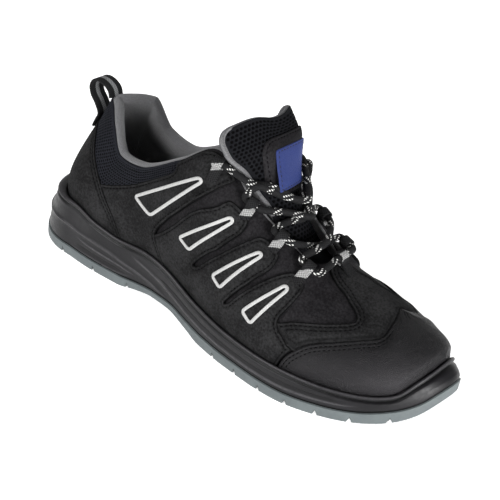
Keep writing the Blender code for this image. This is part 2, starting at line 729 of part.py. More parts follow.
# A webbing loop: a strap on the upper that turns round the lace and comes back onto itself
def build_loop(name, row, side):
    start, inward, off, across = loop_frame(*row, side)
    radius = LOOP_BORE + LOOP_BAND
    throat = [(LOOP_STRAP - LOOP_BORE, radius - share * LOOP_BORE) for share in LOOP_THROAT]
    outer, bore = [(0.0, 0.0)], [throat[0]]
    for k in range(LOOP_SIDES - 1):
        angle = LOOP_WRAP * k / (LOOP_SIDES - 2) - math.pi / 2
        outer.append((LOOP_STRAP + radius * math.cos(angle), radius + radius * math.sin(angle)))
        bore.append((LOOP_STRAP + LOOP_BORE * math.cos(angle), radius + LOOP_BORE * math.sin(angle)))
    outer.append((0.0, LOOP_BAND))
    bore.append(throat[1])
    size = len(outer)
    points = []
    for shape in (outer, bore):
        for half in (-LOOP_WIDTH / 2, LOOP_WIDTH / 2):
            points += [start + inward * a + off * n + across * half for a, n in shape]
    faces = []
    for i in range(size):
        j = (i + 1) % size
        faces += [
            (i, j, size + j, size + i),
            (2 * size + i, 3 * size + i, 3 * size + j, 2 * size + j),
            (i, 2 * size + i, 2 * size + j, j),
            (size + i, size + j, 3 * size + j, 3 * size + i),
        ]
    add_solid(name, points, faces, "webbing")


def build_loops():
    for side in ("lateral", "medial"):
        for number, row in enumerate(LOOP_ROWS, 1):
            build_loop(f"lace_loop_{side}_{number}", row, side)
    build_loop("lace_loop_front", LOOP_FRONT, "lateral")


# The lace passes each loop from its toe side to its heel side, turning round it
def lace_through(row, side):
    middle, inward, across = loop_bore(row, side)
    along, turn = LACE_TURN
    if across[0] > 0:
        across = -across
    middle = middle - inward * turn / 2
    return [middle - across * along + inward * turn, middle, middle + across * along + inward * turn]


def lace_crossing(number, side):
    mirror = 1 if side == "lateral" else -1
    points = []
    for along, across, height in CROSSINGS[number]:
        over = PASS_OVER if across == 0 and ON_TOP[number] == side else 0.0
        points.append(tongue_point(along, mirror * across, height + over))
    return points


# Half of the lace, from the front loop up to a top loop
def lace_half(first):
    sides = ("lateral", "medial") if first == "lateral" else ("medial", "lateral")
    route = []
    for number, row in enumerate(LOOP_ROWS):
        side = sides[number % 2]
        route += lace_through(row, side)
        if number < len(CROSSINGS):
            route += lace_crossing(number, side)
    route[-1] = route[-2] + LACE_END * (route[-1] - route[-2])
    return route


def lace_route():
    middle, _, across = loop_bore(LOOP_FRONT, "lateral")
    if across[1] < 0:
        across = -across
    front = [middle - across * LOOP_WIDTH, middle, middle + across * LOOP_WIDTH]
    return np.array(lace_half("lateral")[::-1] + front + lace_half("medial"))


# Points on a smooth curve through a route, keeping the route's own points
def smooth_route(route, step):
    ends = np.concatenate([[2 * route[0] - route[1]], route, [2 * route[-1] - route[-2]]])
    lengths = np.linalg.norm(np.diff(ends, axis=0), axis=1)
    knots = np.concatenate([[0], np.cumsum(lengths ** 0.5)])
    points = []
    for i in range(1, len(ends) - 2):
        p, k = ends[i - 1:i + 3], knots[i - 1:i + 3]
        for t in np.linspace(k[1], k[2], max(1, round(lengths[i] / step)), endpoint=False):
            a = [((k[j + 1] - t) * p[j] + (t - k[j]) * p[j + 1]) / (k[j + 1] - k[j]) for j in range(3)]
            b = [((k[j + 2] - t) * a[j] + (t - k[j]) * a[j + 1]) / (k[j + 2] - k[j]) for j in range(2)]
            points.append(((k[2] - t) * b[0] + (t - k[1]) * b[1]) / (k[2] - k[1]))
    return np.array(points + [route[-1]])


def build_lace():
    route = smooth_route(lace_route(), LACE_STEP)
    curve = bpy.data.curves.new("lace", "CURVE")
    curve.dimensions = "3D"
    curve.bevel_depth = LACE_RADIUS * MM
    curve.bevel_resolution = 2
    curve.use_fill_caps = True
    spline = curve.splines.new("POLY")
    spline.points.add(len(route) - 1)
    for point, place in zip(spline.points, route * MM):
        point.co = (*place, 1)
    place_piece("lace", curve, "fabric")


def pull_route():
    off = OVERLAY_GAP + OVERLAY + PIECE_GAP + PULL_BAND / 2
    route = [skin(np.zeros(1), share, np.full(1, off))[0] for share in PULL_SEAT]
    route += [np.array([station - SOLE_LENGTH / 2, 0.0, z]) for station, z in PULL_ARC]
    return smooth_route(np.array(route), PULL_STEP)


def build_pull_loop():
    route = pull_route()
    along = np.gradient(route, axis=0)
    along = along / np.linalg.norm(along, axis=1, keepdims=True)
    off = np.stack([-along[:, 2], np.zeros(len(route)), along[:, 0]], -1)
    rings = []
    for place, side in zip(route, off):
        for half, thick in ((-1, -1), (1, -1), (1, 1), (-1, 1)):
            rings.append(place + side * thick * PULL_BAND / 2 + np.array([0, half * PULL_WIDTH / 2, 0]))
    faces = ring_faces(len(route), 4)
    faces += [(0, 1, 2, 3), tuple(len(rings) - 4 + i for i in range(4))]
    add_solid("pull_loop", rings, faces, "fabric")


def main():
    clear_scene()
    both = ("lateral", "medial")
    build_outsole()
    build_midsole()
    build_insole()
    build_upper()
    build_overlay("toe_cap", TOE_CAP, both, "cap")
    build_overlay("vamp_overlay", VAMP_BAND, both, "leather")
    build_overlay("heel_counter", HEEL_COUNTER, both, "leather")
    for side in both:
        build_overlay(f"rear_quarter_{side}", REAR_QUARTER, (side,), "leather")
        build_overlay(f"eyestay_{side}", EYESTAY, (side,), "leather")
    build_tongue()
    build_loops()
    build_lace()
    build_pull_loop()


main()
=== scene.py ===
import math

import bpy
import numpy as np
from mathutils import Matrix, Vector
from mathutils.geometry import delaunay_2d_cdt


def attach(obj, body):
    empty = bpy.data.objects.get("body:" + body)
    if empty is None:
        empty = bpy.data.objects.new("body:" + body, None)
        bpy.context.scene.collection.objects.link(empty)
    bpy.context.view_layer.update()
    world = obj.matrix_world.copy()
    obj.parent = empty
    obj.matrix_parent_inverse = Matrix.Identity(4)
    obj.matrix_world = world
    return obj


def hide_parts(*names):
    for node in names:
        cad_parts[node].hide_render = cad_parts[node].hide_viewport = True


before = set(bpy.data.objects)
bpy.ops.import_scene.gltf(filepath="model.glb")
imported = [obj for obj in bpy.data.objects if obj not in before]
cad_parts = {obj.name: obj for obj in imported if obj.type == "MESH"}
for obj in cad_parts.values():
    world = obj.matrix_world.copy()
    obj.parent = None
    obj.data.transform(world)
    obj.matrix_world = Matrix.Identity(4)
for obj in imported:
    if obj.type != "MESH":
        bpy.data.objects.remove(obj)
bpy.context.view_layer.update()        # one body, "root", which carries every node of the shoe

mm = 0.001
mergeWithin = 2e-6      # metres: points this close are one

# The last that the upper is pulled over, in millimetres. X is the station less half the sole, and the outer
# side is at -Y.
last = {
    "soleLength": 300.0,
    "heelReach": 36.0,          # how far the round of the heel goes
    "toeReach": (92.0, 106.0),   # the round of the toe, lateral and medial
    "toeTipY": 3.0,
    "vampPoint": 216.0,         # front end of the throat
    "skirtPerShare": 60.0,      # depth of the upper inside the sole, for a share of -1
    "wall": 2.2,
    "collarPad": 5.0,
    "padEnd": (112.0, 138.0),
    "padRise": (0.45, 0.9),
    "foldFade": (0.84, 1.0),    # shares between which the folds run out
    "girth": 75.0,              # a panel's pattern: millimetres for a share of 1
    "halfRound": 345.0,         # and for half a turn round the foot
}

# station, lateral half width, medial half width
outlineRows = np.array((
    (0, 37, 35.5), (36, 37.5, 35.5), (60, 39, 37), (90, 38, 33), (120, 40, 29), (150, 46, 31), (180, 52, 39),
    (210, 54.5, 47), (235, 54.5, 51), (300, 54.5, 51.5),
), float)

# station, height of the tread, tread thickness, deck, rim, how far the upper stands in from the edge
soleRows = np.array((
    (0, 3.5, 5, 25, 36, 16), (14, 0, 6, 24.5, 37, 12.5), (36, 0, 6.5, 24, 37, 8),
    (60, 0, 6.5, 23.5, 33.5, 5.5), (82, 0, 6.5, 22.5, 30.5, 5.5), (98, 3.6, 5, 21.5, 33, 5),
    (112, 6.3, 4, 20.5, 32.5, 5), (126, 6.4, 4, 19, 29, 5), (145, 3, 5, 16.5, 24.5, 5),
    (158, 0, 6.5, 14.5, 22.7, 5), (200, 0, 6.5, 12.5, 21, 5), (218, 0, 6.5, 12.5, 21.2, 5),
    (245, 2.2, 6.5, 14, 21.8, 5), (265, 4.8, 6.8, 16, 22.8, 5.5), (282, 9, 7.5, 19.5, 26, 6.5),
    (292, 14.2, 7.5, 23.5, 35, 9), (300, 23, 7.5, 28, 41, 12),
), float)

# station, the top line's x, its y and its height on both sides, and what bends the section: rise, bulge,
# pull, drop and fall
sectionRows = np.array((
    (0, 33, 0, 0, 98.5, 98.5, 0.33, 1, 0.36, 0.35, 0), (14, 40, -7.5, 12.5, 95, 99, 0.33, 1, 0.36, 0.35, 0),
    (30, 49, -15, 21, 88, 98, 0.36, 2, 0.36, 0.35, 0),
    (50, 62, -21.8, 25.5, 76.3, 80, 0.40, 2, 0.30, 0.35, 0),
    (75, 80.5, -25.6, 26, 78.6, 75.8, 0.40, 3, 0.40, 0.30, 0),
    (105, 109.5, -25.8, 25, 96, 90.5, 0.42, 3, 0.60, 0.20, 0),
    (130, 133, -22, 21, 112, 111, 0.45, 3, 0.75, 0.15, 0),
    (158, 160, -19.5, 19, 90, 88.5, 0.45, 2, 0.55, 0.12, 0),
    (185, 184, -17, 16.6, 77, 75.4, 0.48, 2, 0.52, 0.12, 0),
    (203, 201, -12, 13.5, 67, 66.4, 0.48, 1, 0.50, 0.08, -0.1),
    (210, 205.5, -5, 10, 64.8, 65, 0.48, 1, 0.50, 0.03, -0.15),
    (216, 207, 4, 4, 63.5, 63.5, 0.48, 1, 0.50, 0, -0.2),
    (235, 222, 6, 6, 58.8, 58.8, 0.48, 1, 0.50, 0, -0.25),
    (260, 240, 7, 7, 54.8, 54.8, 0.50, 1, 0.50, 0, -0.27),
    (283, 254, 7, 7, 52.8, 52.8, 0.58, 1, 0.52, 0, -0.27),
    (300, 259, 7, 7, 51.8, 51.8, 0.75, 1, 0.54, 0, -0.27),
), float)

# Soft troughs and ridges of the leather: station, share to station, share, then depth and half width
foldRows = (
    (266, 0.50, 283, 0.97, -0.9, 5.0),      # hollow where the protective cap ends under the leather
    (277, 0.56, 291, 0.97, 0.6, 6.0),
    (226, 0.60, 231, 0.95, -0.6, 5.0),      # where the foot bends
    (240, 0.66, 246, 0.95, -0.5, 4.5),
    (235, 0.62, 238, 0.95, 0.35, 4.0),
    (214, 0.50, 221, 0.72, -0.45, 4.5),
    (96, 0.40, 118, 0.60, 0.5, 12.0),
    (60, 0.20, 84, 0.26, -0.4, 9.0),
    (150, 0.12, 196, 0.10, 0.45, 8.0),
    (20, 0.30, 46, 0.26, 0.4, 11.0),
)


def ease(value, start, end):
    t = np.clip((value - start) / (end - start), 0, 1)
    return t * t * (3 - 2 * t)


def unit(vectors):
    return vectors / np.linalg.norm(vectors, axis=-1, keepdims=True)


def lengthAlong(route):
    return np.concatenate([[0], np.cumsum(np.linalg.norm(np.diff(route, axis=0), axis=1))])


# Points at given lengths along a route
def pointsAt(route, along, where):
    return np.stack([np.interp(where, along, route[:, k]) for k in range(route.shape[1])], -1)


# A smooth curve through a table's rows that never overshoots them
def smooth(x, xs, ys):
    width = np.diff(xs)
    slope = np.diff(ys) / width
    tangent = np.concatenate([[slope[0]], np.zeros(len(slope) - 1), [slope[-1]]])
    for k in range(1, len(slope)):
        if slope[k - 1] * slope[k] > 0:
            before, after = 2 * width[k] + width[k - 1], width[k] + 2 * width[k - 1]
            tangent[k] = (before + after) / (before / slope[k - 1] + after / slope[k])
    k = np.clip(np.searchsorted(xs, x) - 1, 0, len(width) - 1)
    t = (x - xs[k]) / width[k]
    start = (1 + 2 * t) * (1 - t) ** 2 * ys[k] + t * (1 - t) ** 2 * width[k] * tangent[k]
    end = t * t * (3 - 2 * t) * ys[k + 1] + t * t * (t - 1) * width[k] * tangent[k + 1]
    return start + end


def rowsAt(rows, place, column):
    rows = np.asarray(rows, float)
    return smooth(np.asarray(place, float), rows[:, 0], rows[:, column])


# Round the foot: 0 at the heel, 1 at the toe along the outer side, 2 at the heel again
def aroundOf(station, side="lateral"):
    half = np.arccos(1 - 2 * np.asarray(station, float) / last["soleLength"]) / np.pi
    return half if side == "lateral" else 2 - half


def stationOf(around):
    return last["soleLength"] * (1 - np.cos(np.pi * np.asarray(around))) / 2


def outline(around):
    around = np.mod(around, 2)
    lateral = around <= 1
    station = stationOf(around)
    y = np.where(lateral, -rowsAt(outlineRows, station, 1), rowsAt(outlineRows, station, 2))
    y = y * np.sqrt(1 - np.clip(1 - station / last["heelReach"], 0, 1) ** 2)
    reach = np.where(lateral, *last["toeReach"])
    closing = np.clip((station - last["soleLength"] + reach) / reach, 0, 1)
    tip = last["toeTipY"]
    y = np.where(closing > 0, tip + (y - tip) * np.sqrt(1 - closing ** 2), y)
    return np.stack([station - last["soleLength"] / 2, y], -1)


def outward(around):
    step = 0.002
    along = outline(around + step) - outline(around - step)
    return unit(np.stack([along[..., 1], -along[..., 0]], -1))


def insetRing(around, inset, z):
    flat = outline(around) - outward(around) * np.asarray(inset)[..., None]
    return np.concatenate([flat, np.broadcast_to(z, np.shape(around))[..., None]], -1)


def sectionAt(around, lateral, medial):
    share = aroundOf(sectionRows[:, 0])
    places = np.concatenate([share, 2 - share[-2:0:-1]])
    values = np.concatenate([sectionRows[:, lateral], sectionRows[-2:0:-1, medial]])
    places = np.concatenate([places[-2:] - 2, places, places[:2] + 2])
    values = np.concatenate([values[-2:], values, values[:2]])
    return smooth(np.mod(around, 2), places, values)


# Collar, throat, and past the vamp point the ridge where both sides meet
def topLine(around):
    def oneSide(place):
        x = sectionAt(place, 1, 1) - last["soleLength"] / 2
        return np.stack([x, sectionAt(place, 2, 3), sectionAt(place, 4, 5)], -1)

    line = oneSide(around)
    ridge = (line + oneSide(2 - around)) / 2
    return np.where((stationOf(around) >= last["vampPoint"])[..., None], ridge, line)


# Share 0 is at the sole's rim, 1 at the top line, and below 0 is the skirt inside the sole
def lastSurface(around, share):
    around = np.asarray(around, float)
    station = stationOf(around)
    foot = insetRing(around, rowsAt(soleRows, station, 5), rowsAt(soleRows, station, 4))
    top = topLine(around)
    height = top[..., 2] - foot[..., 2]
    reach = foot[..., :2] - top[..., :2]
    rise, bulge, pull, drop, fall = (sectionAt(around, k, k) for k in range(6, 11))
    low = foot.copy()
    low[..., :2] += outward(around) * bulge[..., None]
    low[..., 2] += rise * height
    high = top.copy()
    high[..., :2] += reach * pull[..., None]
    high[..., 2] += fall * pull * reach[..., 0] - drop * height
    t = np.clip(share, 0, 1)[..., None]
    curve = (1 - t) ** 3 * foot + 3 * (1 - t) ** 2 * t * low + 3 * (1 - t) * t ** 2 * high + t ** 3 * top
    curve[..., 2] += np.minimum(share, 0) * last["skirtPerShare"]
    return curve


def lastNormal(around, share):
    step = 0.003
    share = np.minimum(share, 1 - 2 * step)
    along = lastSurface(around + step, share) - lastSurface(around - step, share)
    up = lastSurface(around, share + step) - lastSurface(around, share - step)
    return unit(np.cross(along, up))


# Both sides share one normal along the ridge
def skinNormal(around, share):
    normal = lastNormal(around, share)
    ridge = (share > 0.999) & (stationOf(around) >= last["vampPoint"])
    both = unit(normal + lastNormal(2 - around, share))
    return np.where(ridge[..., None], both, normal)


# A panel's flat pattern: millimetres round the foot and up it
def patternPlace(around, share):
    return np.stack([around * last["halfRound"], share * last["girth"]], -1)


def footPlace(places, side="lateral"):
    around, share = places[:, 0] / last["halfRound"], places[:, 1] / last["girth"]
    return around if side == "lateral" else 2 - around, share


def folds(around, share):
    half = np.minimum(np.mod(around, 2), 2 - np.mod(around, 2))
    place = patternPlace(half, share)
    height = np.zeros(np.shape(share))
    for station, low, stationEnd, high, depth, width in foldRows:
        start, end = patternPlace(aroundOf(station), low), patternPlace(aroundOf(stationEnd), high)
        along = end - start
        t = np.clip(((place - start) @ along) / (along @ along), 0, 1)
        near = np.linalg.norm(place - start - t[..., None] * along, axis=-1)
        height += depth * np.exp(-(near / width) ** 2)
    return height * (1 - ease(share, *last["foldFade"]))


def skin(around, share, offset):
    around = np.asarray(around, float)
    share = np.broadcast_to(np.asarray(share, float), around.shape)
    offset = np.asarray(offset) + folds(around, share)
    return lastSurface(around, share) + skinNormal(around, share) * offset[..., None]


def wallThickness(around, share):
    padded = 1 - ease(stationOf(around), *last["padEnd"])
    return last["wall"] + last["collarPad"] * padded * ease(share, *last["padRise"])


# The frame's origin is under the middle of the sole
soleSide = outline(np.linspace(0, 2, 2001))[:, 1]
sideShift = np.array([0, -(soleSide.min() + soleSide.max()) / 2, 0])

print("last: sole", last["soleLength"], "mm, moved sideways", round(float(sideShift[1]), 3), "mm")


# Mesh tools. Places are in millimetres of the last until a mesh takes them.

def deselect():
    if bpy.context.mode != "OBJECT":
        bpy.ops.object.mode_set(mode="OBJECT")
    bpy.ops.object.select_all(action="DESELECT")


def metres(points):
    return (np.asarray(points) + sideShift) * mm


def setAttribute(piece, name, values):
    data = piece.data.attributes.new(name, "FLOAT", "POINT").data
    data.foreach_set("value", np.asarray(values, np.float32))


def setSheet(piece, sheet):
    mesh = piece.data
    layer = mesh.uv_layers.active or mesh.uv_layers.new(name="UVMap")
    layer.name = "UVMap"
    corner = np.empty(len(mesh.loops), np.int32)
    mesh.loops.foreach_get("vertex_index", corner)
    layer.data.foreach_set("uv", np.asarray(sheet, np.float32)[corner].ravel())


# Merges seams and poles, turns the faces outwards and shades the piece
def closeUp(piece, sharpest=42):
    deselect()
    piece.select_set(True)
    bpy.context.view_layer.objects.active = piece
    bpy.ops.object.mode_set(mode="EDIT")
    bpy.ops.mesh.select_all(action="SELECT")
    bpy.ops.mesh.remove_doubles(threshold=mergeWithin)
    bpy.ops.mesh.normals_make_consistent(inside=False)
    bpy.ops.object.mode_set(mode="OBJECT")
    bpy.ops.object.shade_smooth_by_angle(angle=math.radians(sharpest))
    return piece


def cutFaces(piece, chosen):
    bpy.ops.object.mode_set(mode="EDIT")
    bpy.ops.mesh.select_mode(type="FACE")
    bpy.ops.mesh.select_all(action="DESELECT")
    bpy.ops.object.mode_set(mode="OBJECT")
    for face in piece.data.polygons:
        face.select = bool(chosen(list(face.vertices)))
    bpy.ops.object.mode_set(mode="EDIT")
    bpy.ops.mesh.delete(type="ONLY_FACE")
    bpy.ops.mesh.select_mode(type="VERT")
    bpy.ops.object.mode_set(mode="OBJECT")


# A flat grid whose points are moved to the given ones, by row and column. Along and up are the places on the
# sheet, and drop names the faces to cut out by their lowest column and row.
def gridPiece(name, points, along, up, sharpest=42, drop=None, **values):
    rows, columns = points.shape[0] - 1, points.shape[1] - 1
    deselect()
    bpy.ops.mesh.primitive_grid_add(x_subdivisions=columns, y_subdivisions=rows, size=2)
    piece = bpy.context.object
    piece.name = piece.data.name = name
    flat = np.empty(len(piece.data.vertices) * 3, np.float32)
    piece.data.vertices.foreach_get("co", flat)
    flat = flat.reshape(-1, 3)
    column = np.rint((flat[:, 0] + 1) / 2 * columns).astype(int)
    row = np.rint((flat[:, 1] + 1) / 2 * rows).astype(int)
    piece.data.vertices.foreach_set("co", metres(points[row, column]).astype(np.float32).ravel())
    piece.data.update()
    setSheet(piece, np.stack(np.broadcast_arrays(along, up), -1)[row, column])
    for key, value in values.items():
        setAttribute(piece, key, np.asarray(value)[row, column])
    if drop is not None:
        cutFaces(piece, lambda corners: drop(column[corners].min(), row[corners].min()))
    return closeUp(piece, sharpest)


def meshPiece(name, points, faces, sheet, sharpest=42, **values):
    mesh = bpy.data.meshes.new(name)
    mesh.from_pydata(metres(points).tolist(), [], faces)
    piece = bpy.data.objects.new(name, mesh)
    bpy.context.scene.collection.objects.link(piece)
    setSheet(piece, sheet)
    for key, value in values.items():
        setAttribute(piece, key, value)
    return closeUp(piece, sharpest)


def dress(piece, material, slot, *nodes):
    piece.data.materials.clear()
    piece.data.materials.append(material)
    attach(piece, "root")
    if nodes:
        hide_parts(*nodes)
    return piece


# A smooth curve through a route, keeping the route's own points
def smoothRoute(route, step):
    ends = np.concatenate([[2 * route[0] - route[1]], route, [2 * route[-1] - route[-2]]])
    lengths = np.linalg.norm(np.diff(ends, axis=0), axis=1)
    knots = np.concatenate([[0], np.cumsum(lengths ** 0.5)])
    points = []
    for i in range(1, len(ends) - 2):
        p, k = ends[i - 1:i + 3], knots[i - 1:i + 3]
        for t in np.linspace(k[1], k[2], max(1, round(lengths[i] / step)), endpoint=False):
            a = [((k[j + 1] - t) * p[j] + (t - k[j]) * p[j + 1]) / (k[j + 1] - k[j]) for j in range(3)]
            b = [((k[j + 2] - t) * a[j] + (t - k[j]) * a[j + 1]) / (k[j + 2] - k[j]) for j in range(2)]
            points.append(((k[2] - t) * b[0] + (t - k[1]) * b[1]) / (k[2] - k[1]))
    return np.array(points + [route[-1]])


# A closed profile, in millimetres across and off the route, swept along it and closed at both ends
def sweepPiece(name, route, across, off, profile, sharpest=42):
    profile = np.concatenate([profile, profile[:1]])
    route, across, off = (np.concatenate([line[:1], line, line[-1:]]) for line in (route, across, off))
    size = np.ones((len(route), 1, 1))
    size[[0, -1]] = 0
    flat = profile * size
    points = route[:, None] + across[:, None] * flat[..., :1] + off[:, None] * flat[..., 1:]
    return gridPiece(name, points, lengthAlong(profile), lengthAlong(route)[:, None], sharpest)


# A flat band with rounded edges and even points across it
def ribbonProfile(width, thick):
    flat = np.linspace(-1, 1, 11) * (width - thick) / 2
    turn = np.linspace(-0.5, 0.5, 6)[1:-1] * math.pi
    right = np.stack([np.cos(turn), np.sin(turn)], -1) * thick / 2 + [(width - thick) / 2, 0]
    low = np.stack([flat, np.full(len(flat), -thick / 2)], -1)
    return np.concatenate([low, right, -low, -right])


# Materials

def addNode(tree, kind, **values):
    node = tree.nodes.new(kind)
    for key, value in values.items():
        setattr(node, key, value)
    return node


def plug(tree, value, socket):
    if isinstance(value, bpy.types.NodeSocket):
        tree.links.new(value, socket)
    else:
        socket.default_value = value


def calculate(tree, operation, first, second=0.0, clamp=False):
    node = addNode(tree, "ShaderNodeMath", operation=operation, use_clamp=clamp)
    plug(tree, first, node.inputs[0])
    plug(tree, second, node.inputs[1])
    return node.outputs[0]


def times(tree, first, *others):
    for other in others:
        first = calculate(tree, "MULTIPLY", first, other)
    return first


def attribute(tree, name):
    return addNode(tree, "ShaderNodeAttribute", attribute_name=name).outputs["Fac"]


def mixColour(tree, share, first, second):
    node = addNode(tree, "ShaderNodeMix", data_type="RGBA")
    plug(tree, share, node.inputs[0])
    for value, socket in ((first, node.inputs[6]), (second, node.inputs[7])):
        plug(tree, value if isinstance(value, bpy.types.NodeSocket) else (*value, 1), socket)
    return node.outputs[2]


def remap(tree, value, low, high, lowTo=0.0, highTo=1.0):
    node = addNode(tree, "ShaderNodeMapRange", interpolation_type="SMOOTHSTEP")
    plug(tree, value, node.inputs["Value"])
    for key, number in (("From Min", low), ("From Max", high), ("To Min", lowTo), ("To Max", highTo)):
        node.inputs[key].default_value = number
    return node.outputs["Result"]


def splitUp(tree, vector):
    node = addNode(tree, "ShaderNodeSeparateXYZ")
    tree.links.new(vector, node.inputs[0])
    return node.outputs


# A place on the piece, in millimetres
def objectPlace(tree):
    scaled = addNode(tree, "ShaderNodeVectorMath", operation="SCALE")
    tree.links.new(addNode(tree, "ShaderNodeTexCoord").outputs["Object"], scaled.inputs[0])
    scaled.inputs["Scale"].default_value = 1 / mm
    return scaled.outputs["Vector"]


def sheetPlace(tree):
    place = splitUp(tree, addNode(tree, "ShaderNodeUVMap", uv_map="UVMap").outputs["UV"])
    return place["X"], place["Y"]


def noise(tree, place, scale, detail=3.0, rough=0.5):
    node = addNode(tree, "ShaderNodeTexNoise")
    tree.links.new(place, node.inputs["Vector"])
    plug(tree, scale, node.inputs["Scale"])
    node.inputs["Detail"].default_value = detail
    node.inputs["Roughness"].default_value = rough
    return node.outputs["Fac"]


def cells(tree, place, scale, feature="F1"):
    node = addNode(tree, "ShaderNodeTexVoronoi", feature=feature)
    tree.links.new(place, node.inputs["Vector"])
    plug(tree, scale, node.inputs["Scale"])
    return node.outputs["Distance"]


def newGroup(name, inputs, outputs):
    group = bpy.data.node_groups.new(name, "ShaderNodeTree")
    for key, value in inputs.items():
        group.interface.new_socket(key, in_out="INPUT", socket_type="NodeSocketFloat").default_value = value
    for key in outputs:
        group.interface.new_socket(key, in_out="OUTPUT", socket_type="NodeSocketFloat")
    return group, addNode(group, "NodeGroupInput").outputs, addNode(group, "NodeGroupOutput").inputs


def placeGroup(tree, group, **values):
    node = addNode(tree, "ShaderNodeGroup", node_tree=group)
    for key, value in values.items():
        plug(tree, value, node.inputs[key])
    return node.outputs


# Leather: pebbles with creases between them and a nap over all; the tone drifts in soft patches
def leatherGrain():
    sizes = {"pebble": 1.0, "nap": 4.0, "crease": 0.5}
    group, given, out = newGroup("leatherGrain", sizes, ("height", "tone"))
    place = objectPlace(group)
    crease = remap(group, cells(group, place, given["pebble"], "DISTANCE_TO_EDGE"), 0.0, 0.22)
    nap = noise(group, place, given["nap"], 4.0, 0.65)
    rolled = times(group, crease, given["crease"])
    group.links.new(calculate(group, "ADD", rolled, times(group, nap, 0.6)), out["height"])
    patches = noise(group, place, 0.05, 4.0, 0.6)
    mottle = noise(group, place, 0.7, 3.0, 0.6)
    tone = calculate(group, "ADD", times(group, patches, 0.45), times(group, mottle, 0.55))
    group.links.new(remap(group, tone, 0.36, 0.66), out["tone"])
    return group


# Cloth on its own sheet: threads over and under, as a height and as which thread is on top
def plainWeave():
    group, given, out = newGroup("plainWeave", {"pitchAcross": 0.8, "pitchAlong": 0.8}, ("height", "over"))
    waves = []
    for place, pitch in zip(sheetPlace(group), (given["pitchAcross"], given["pitchAlong"])):
        turns = calculate(group, "DIVIDE", place, pitch)
        waves.append(calculate(group, "SINE", times(group, turns, math.pi)))
    product = times(group, *waves)
    group.links.new(calculate(group, "ABSOLUTE", product), out["height"])
    group.links.new(remap(group, product, -0.15, 0.15), out["over"])
    return group


# Worn, with a painted highlight: pale along a panel's rounded edge, in patches
def edgeWearAndHighlight():
    group, given, out = newGroup("edgeWearAndHighlight", {"reach": 1.2, "amount": 0.5}, ("mask",))
    distance = calculate(group, "DIVIDE", attribute(group, "edgeDistance"), given["reach"])
    near = calculate(group, "SUBTRACT", 1.0, distance, clamp=True)
    patch = remap(group, noise(group, objectPlace(group), 0.35, 4.0, 0.65), 0.35, 0.65)
    group.links.new(times(group, near, patch, given["amount"]), out["mask"])
    return group


# Painted light: paler towards the tip of the toe and down to the sole, where the cap faces the light
def paintedToeLight():
    group, given, out = newGroup("paintedToeLight", {"amount": 0.5}, ("mask",))
    place = splitUp(group, objectPlace(group))
    low = remap(group, place["Z"], 30.0, 54.0, 1.0, 0.0)
    front = remap(group, place["X"], 90.0, 138.0, 0.33, 1.0)
    group.links.new(times(group, low, front, given["amount"]), out["mask"])
    return group


grainGroup, weaveGroup, wearHighlightGroup, toeLightGroup = leatherGrain(), plainWeave(), edgeWearAndHighlight(), paintedToeLight()


def newMaterial(name, roughness, specular=0.5, **constants):
    material = bpy.data.materials.new(name)
    material.use_nodes = True
    shader = material.node_tree.nodes["Principled BSDF"]
    shader.inputs["Roughness"].default_value = roughness
    shader.inputs["Specular IOR Level"].default_value = specular
    for key, value in constants.items():
        words = "".join(" " + c if c.isupper() else c for c in key).title()
        shader.inputs[words].default_value = value
    return material, material.node_tree, shader


# A material's colour and its relief, in millimetres
def paint(tree, shader, colour, height, depth):
    plug(tree, colour, shader.inputs["Base Color"])
    node = addNode(tree, "ShaderNodeBump")
    node.inputs["Distance"].default_value = depth * mm
    tree.links.new(height, node.inputs["Height"])
    tree.links.new(node.outputs["Normal"], shader.inputs["Normal"])


def leatherMaterial(name, dark, light, worn, roughness, grain, depth, wear, paintedLight=0.0, **constants):
    material, tree, shader = newMaterial(name, roughness, **constants)
    grain = placeGroup(tree, grainGroup, **grain)
    colour = mixColour(tree, grain["tone"], dark, light)
    # pale along each panel's edge: wear, and a painted highlight on the rounded edge
    colour = mixColour(tree, placeGroup(tree, wearHighlightGroup, reach=1.3, amount=wear)["mask"], colour, worn)
    # painted light: the toe cap paler at its front and low down
    if paintedLight:
        colour = mixColour(tree, placeGroup(tree, toeLightGroup, amount=paintedLight)["mask"], colour, worn)
    # painted shade along the stitched rows and in each panel's cut edge
    colour = mixColour(tree, times(tree, attribute(tree, "seam"), 0.92), colour, (0.001, 0.001, 0.0011))
    dull = remap(tree, grain["tone"], 0, 1, roughness - 0.06, roughness + 0.06)
    plug(tree, dull, shader.inputs["Roughness"])
    paint(tree, shader, colour, grain["height"], depth)
    return material


nubuck = leatherMaterial(
    "blackNubuck", (0.008, 0.008, 0.0083), (0.0275, 0.0275, 0.0283), (0.055, 0.055, 0.056), 0.8,
    {"pebble": 1.1, "nap": 5.0, "crease": 0.35}, depth=0.26, wear=0.5, specular=0.05)
innerNubuck = leatherMaterial(
    "innerNubuck", (0.0062, 0.0058, 0.0066), (0.02, 0.019, 0.0207), (0.02, 0.02, 0.022), 0.7,
    {"pebble": 0.9, "nap": 5.0, "crease": 0.3}, depth=0.2, wear=0.0, specular=0.06)
capLeather = leatherMaterial(
    "capLeather", (0.003, 0.0028, 0.0034), (0.0085, 0.008, 0.009), (0.045, 0.0425, 0.0465), 0.46,
    {"pebble": 1.25, "nap": 3.5, "crease": 0.8}, depth=0.24, wear=0.3, paintedLight=0.62, specular=0.19)


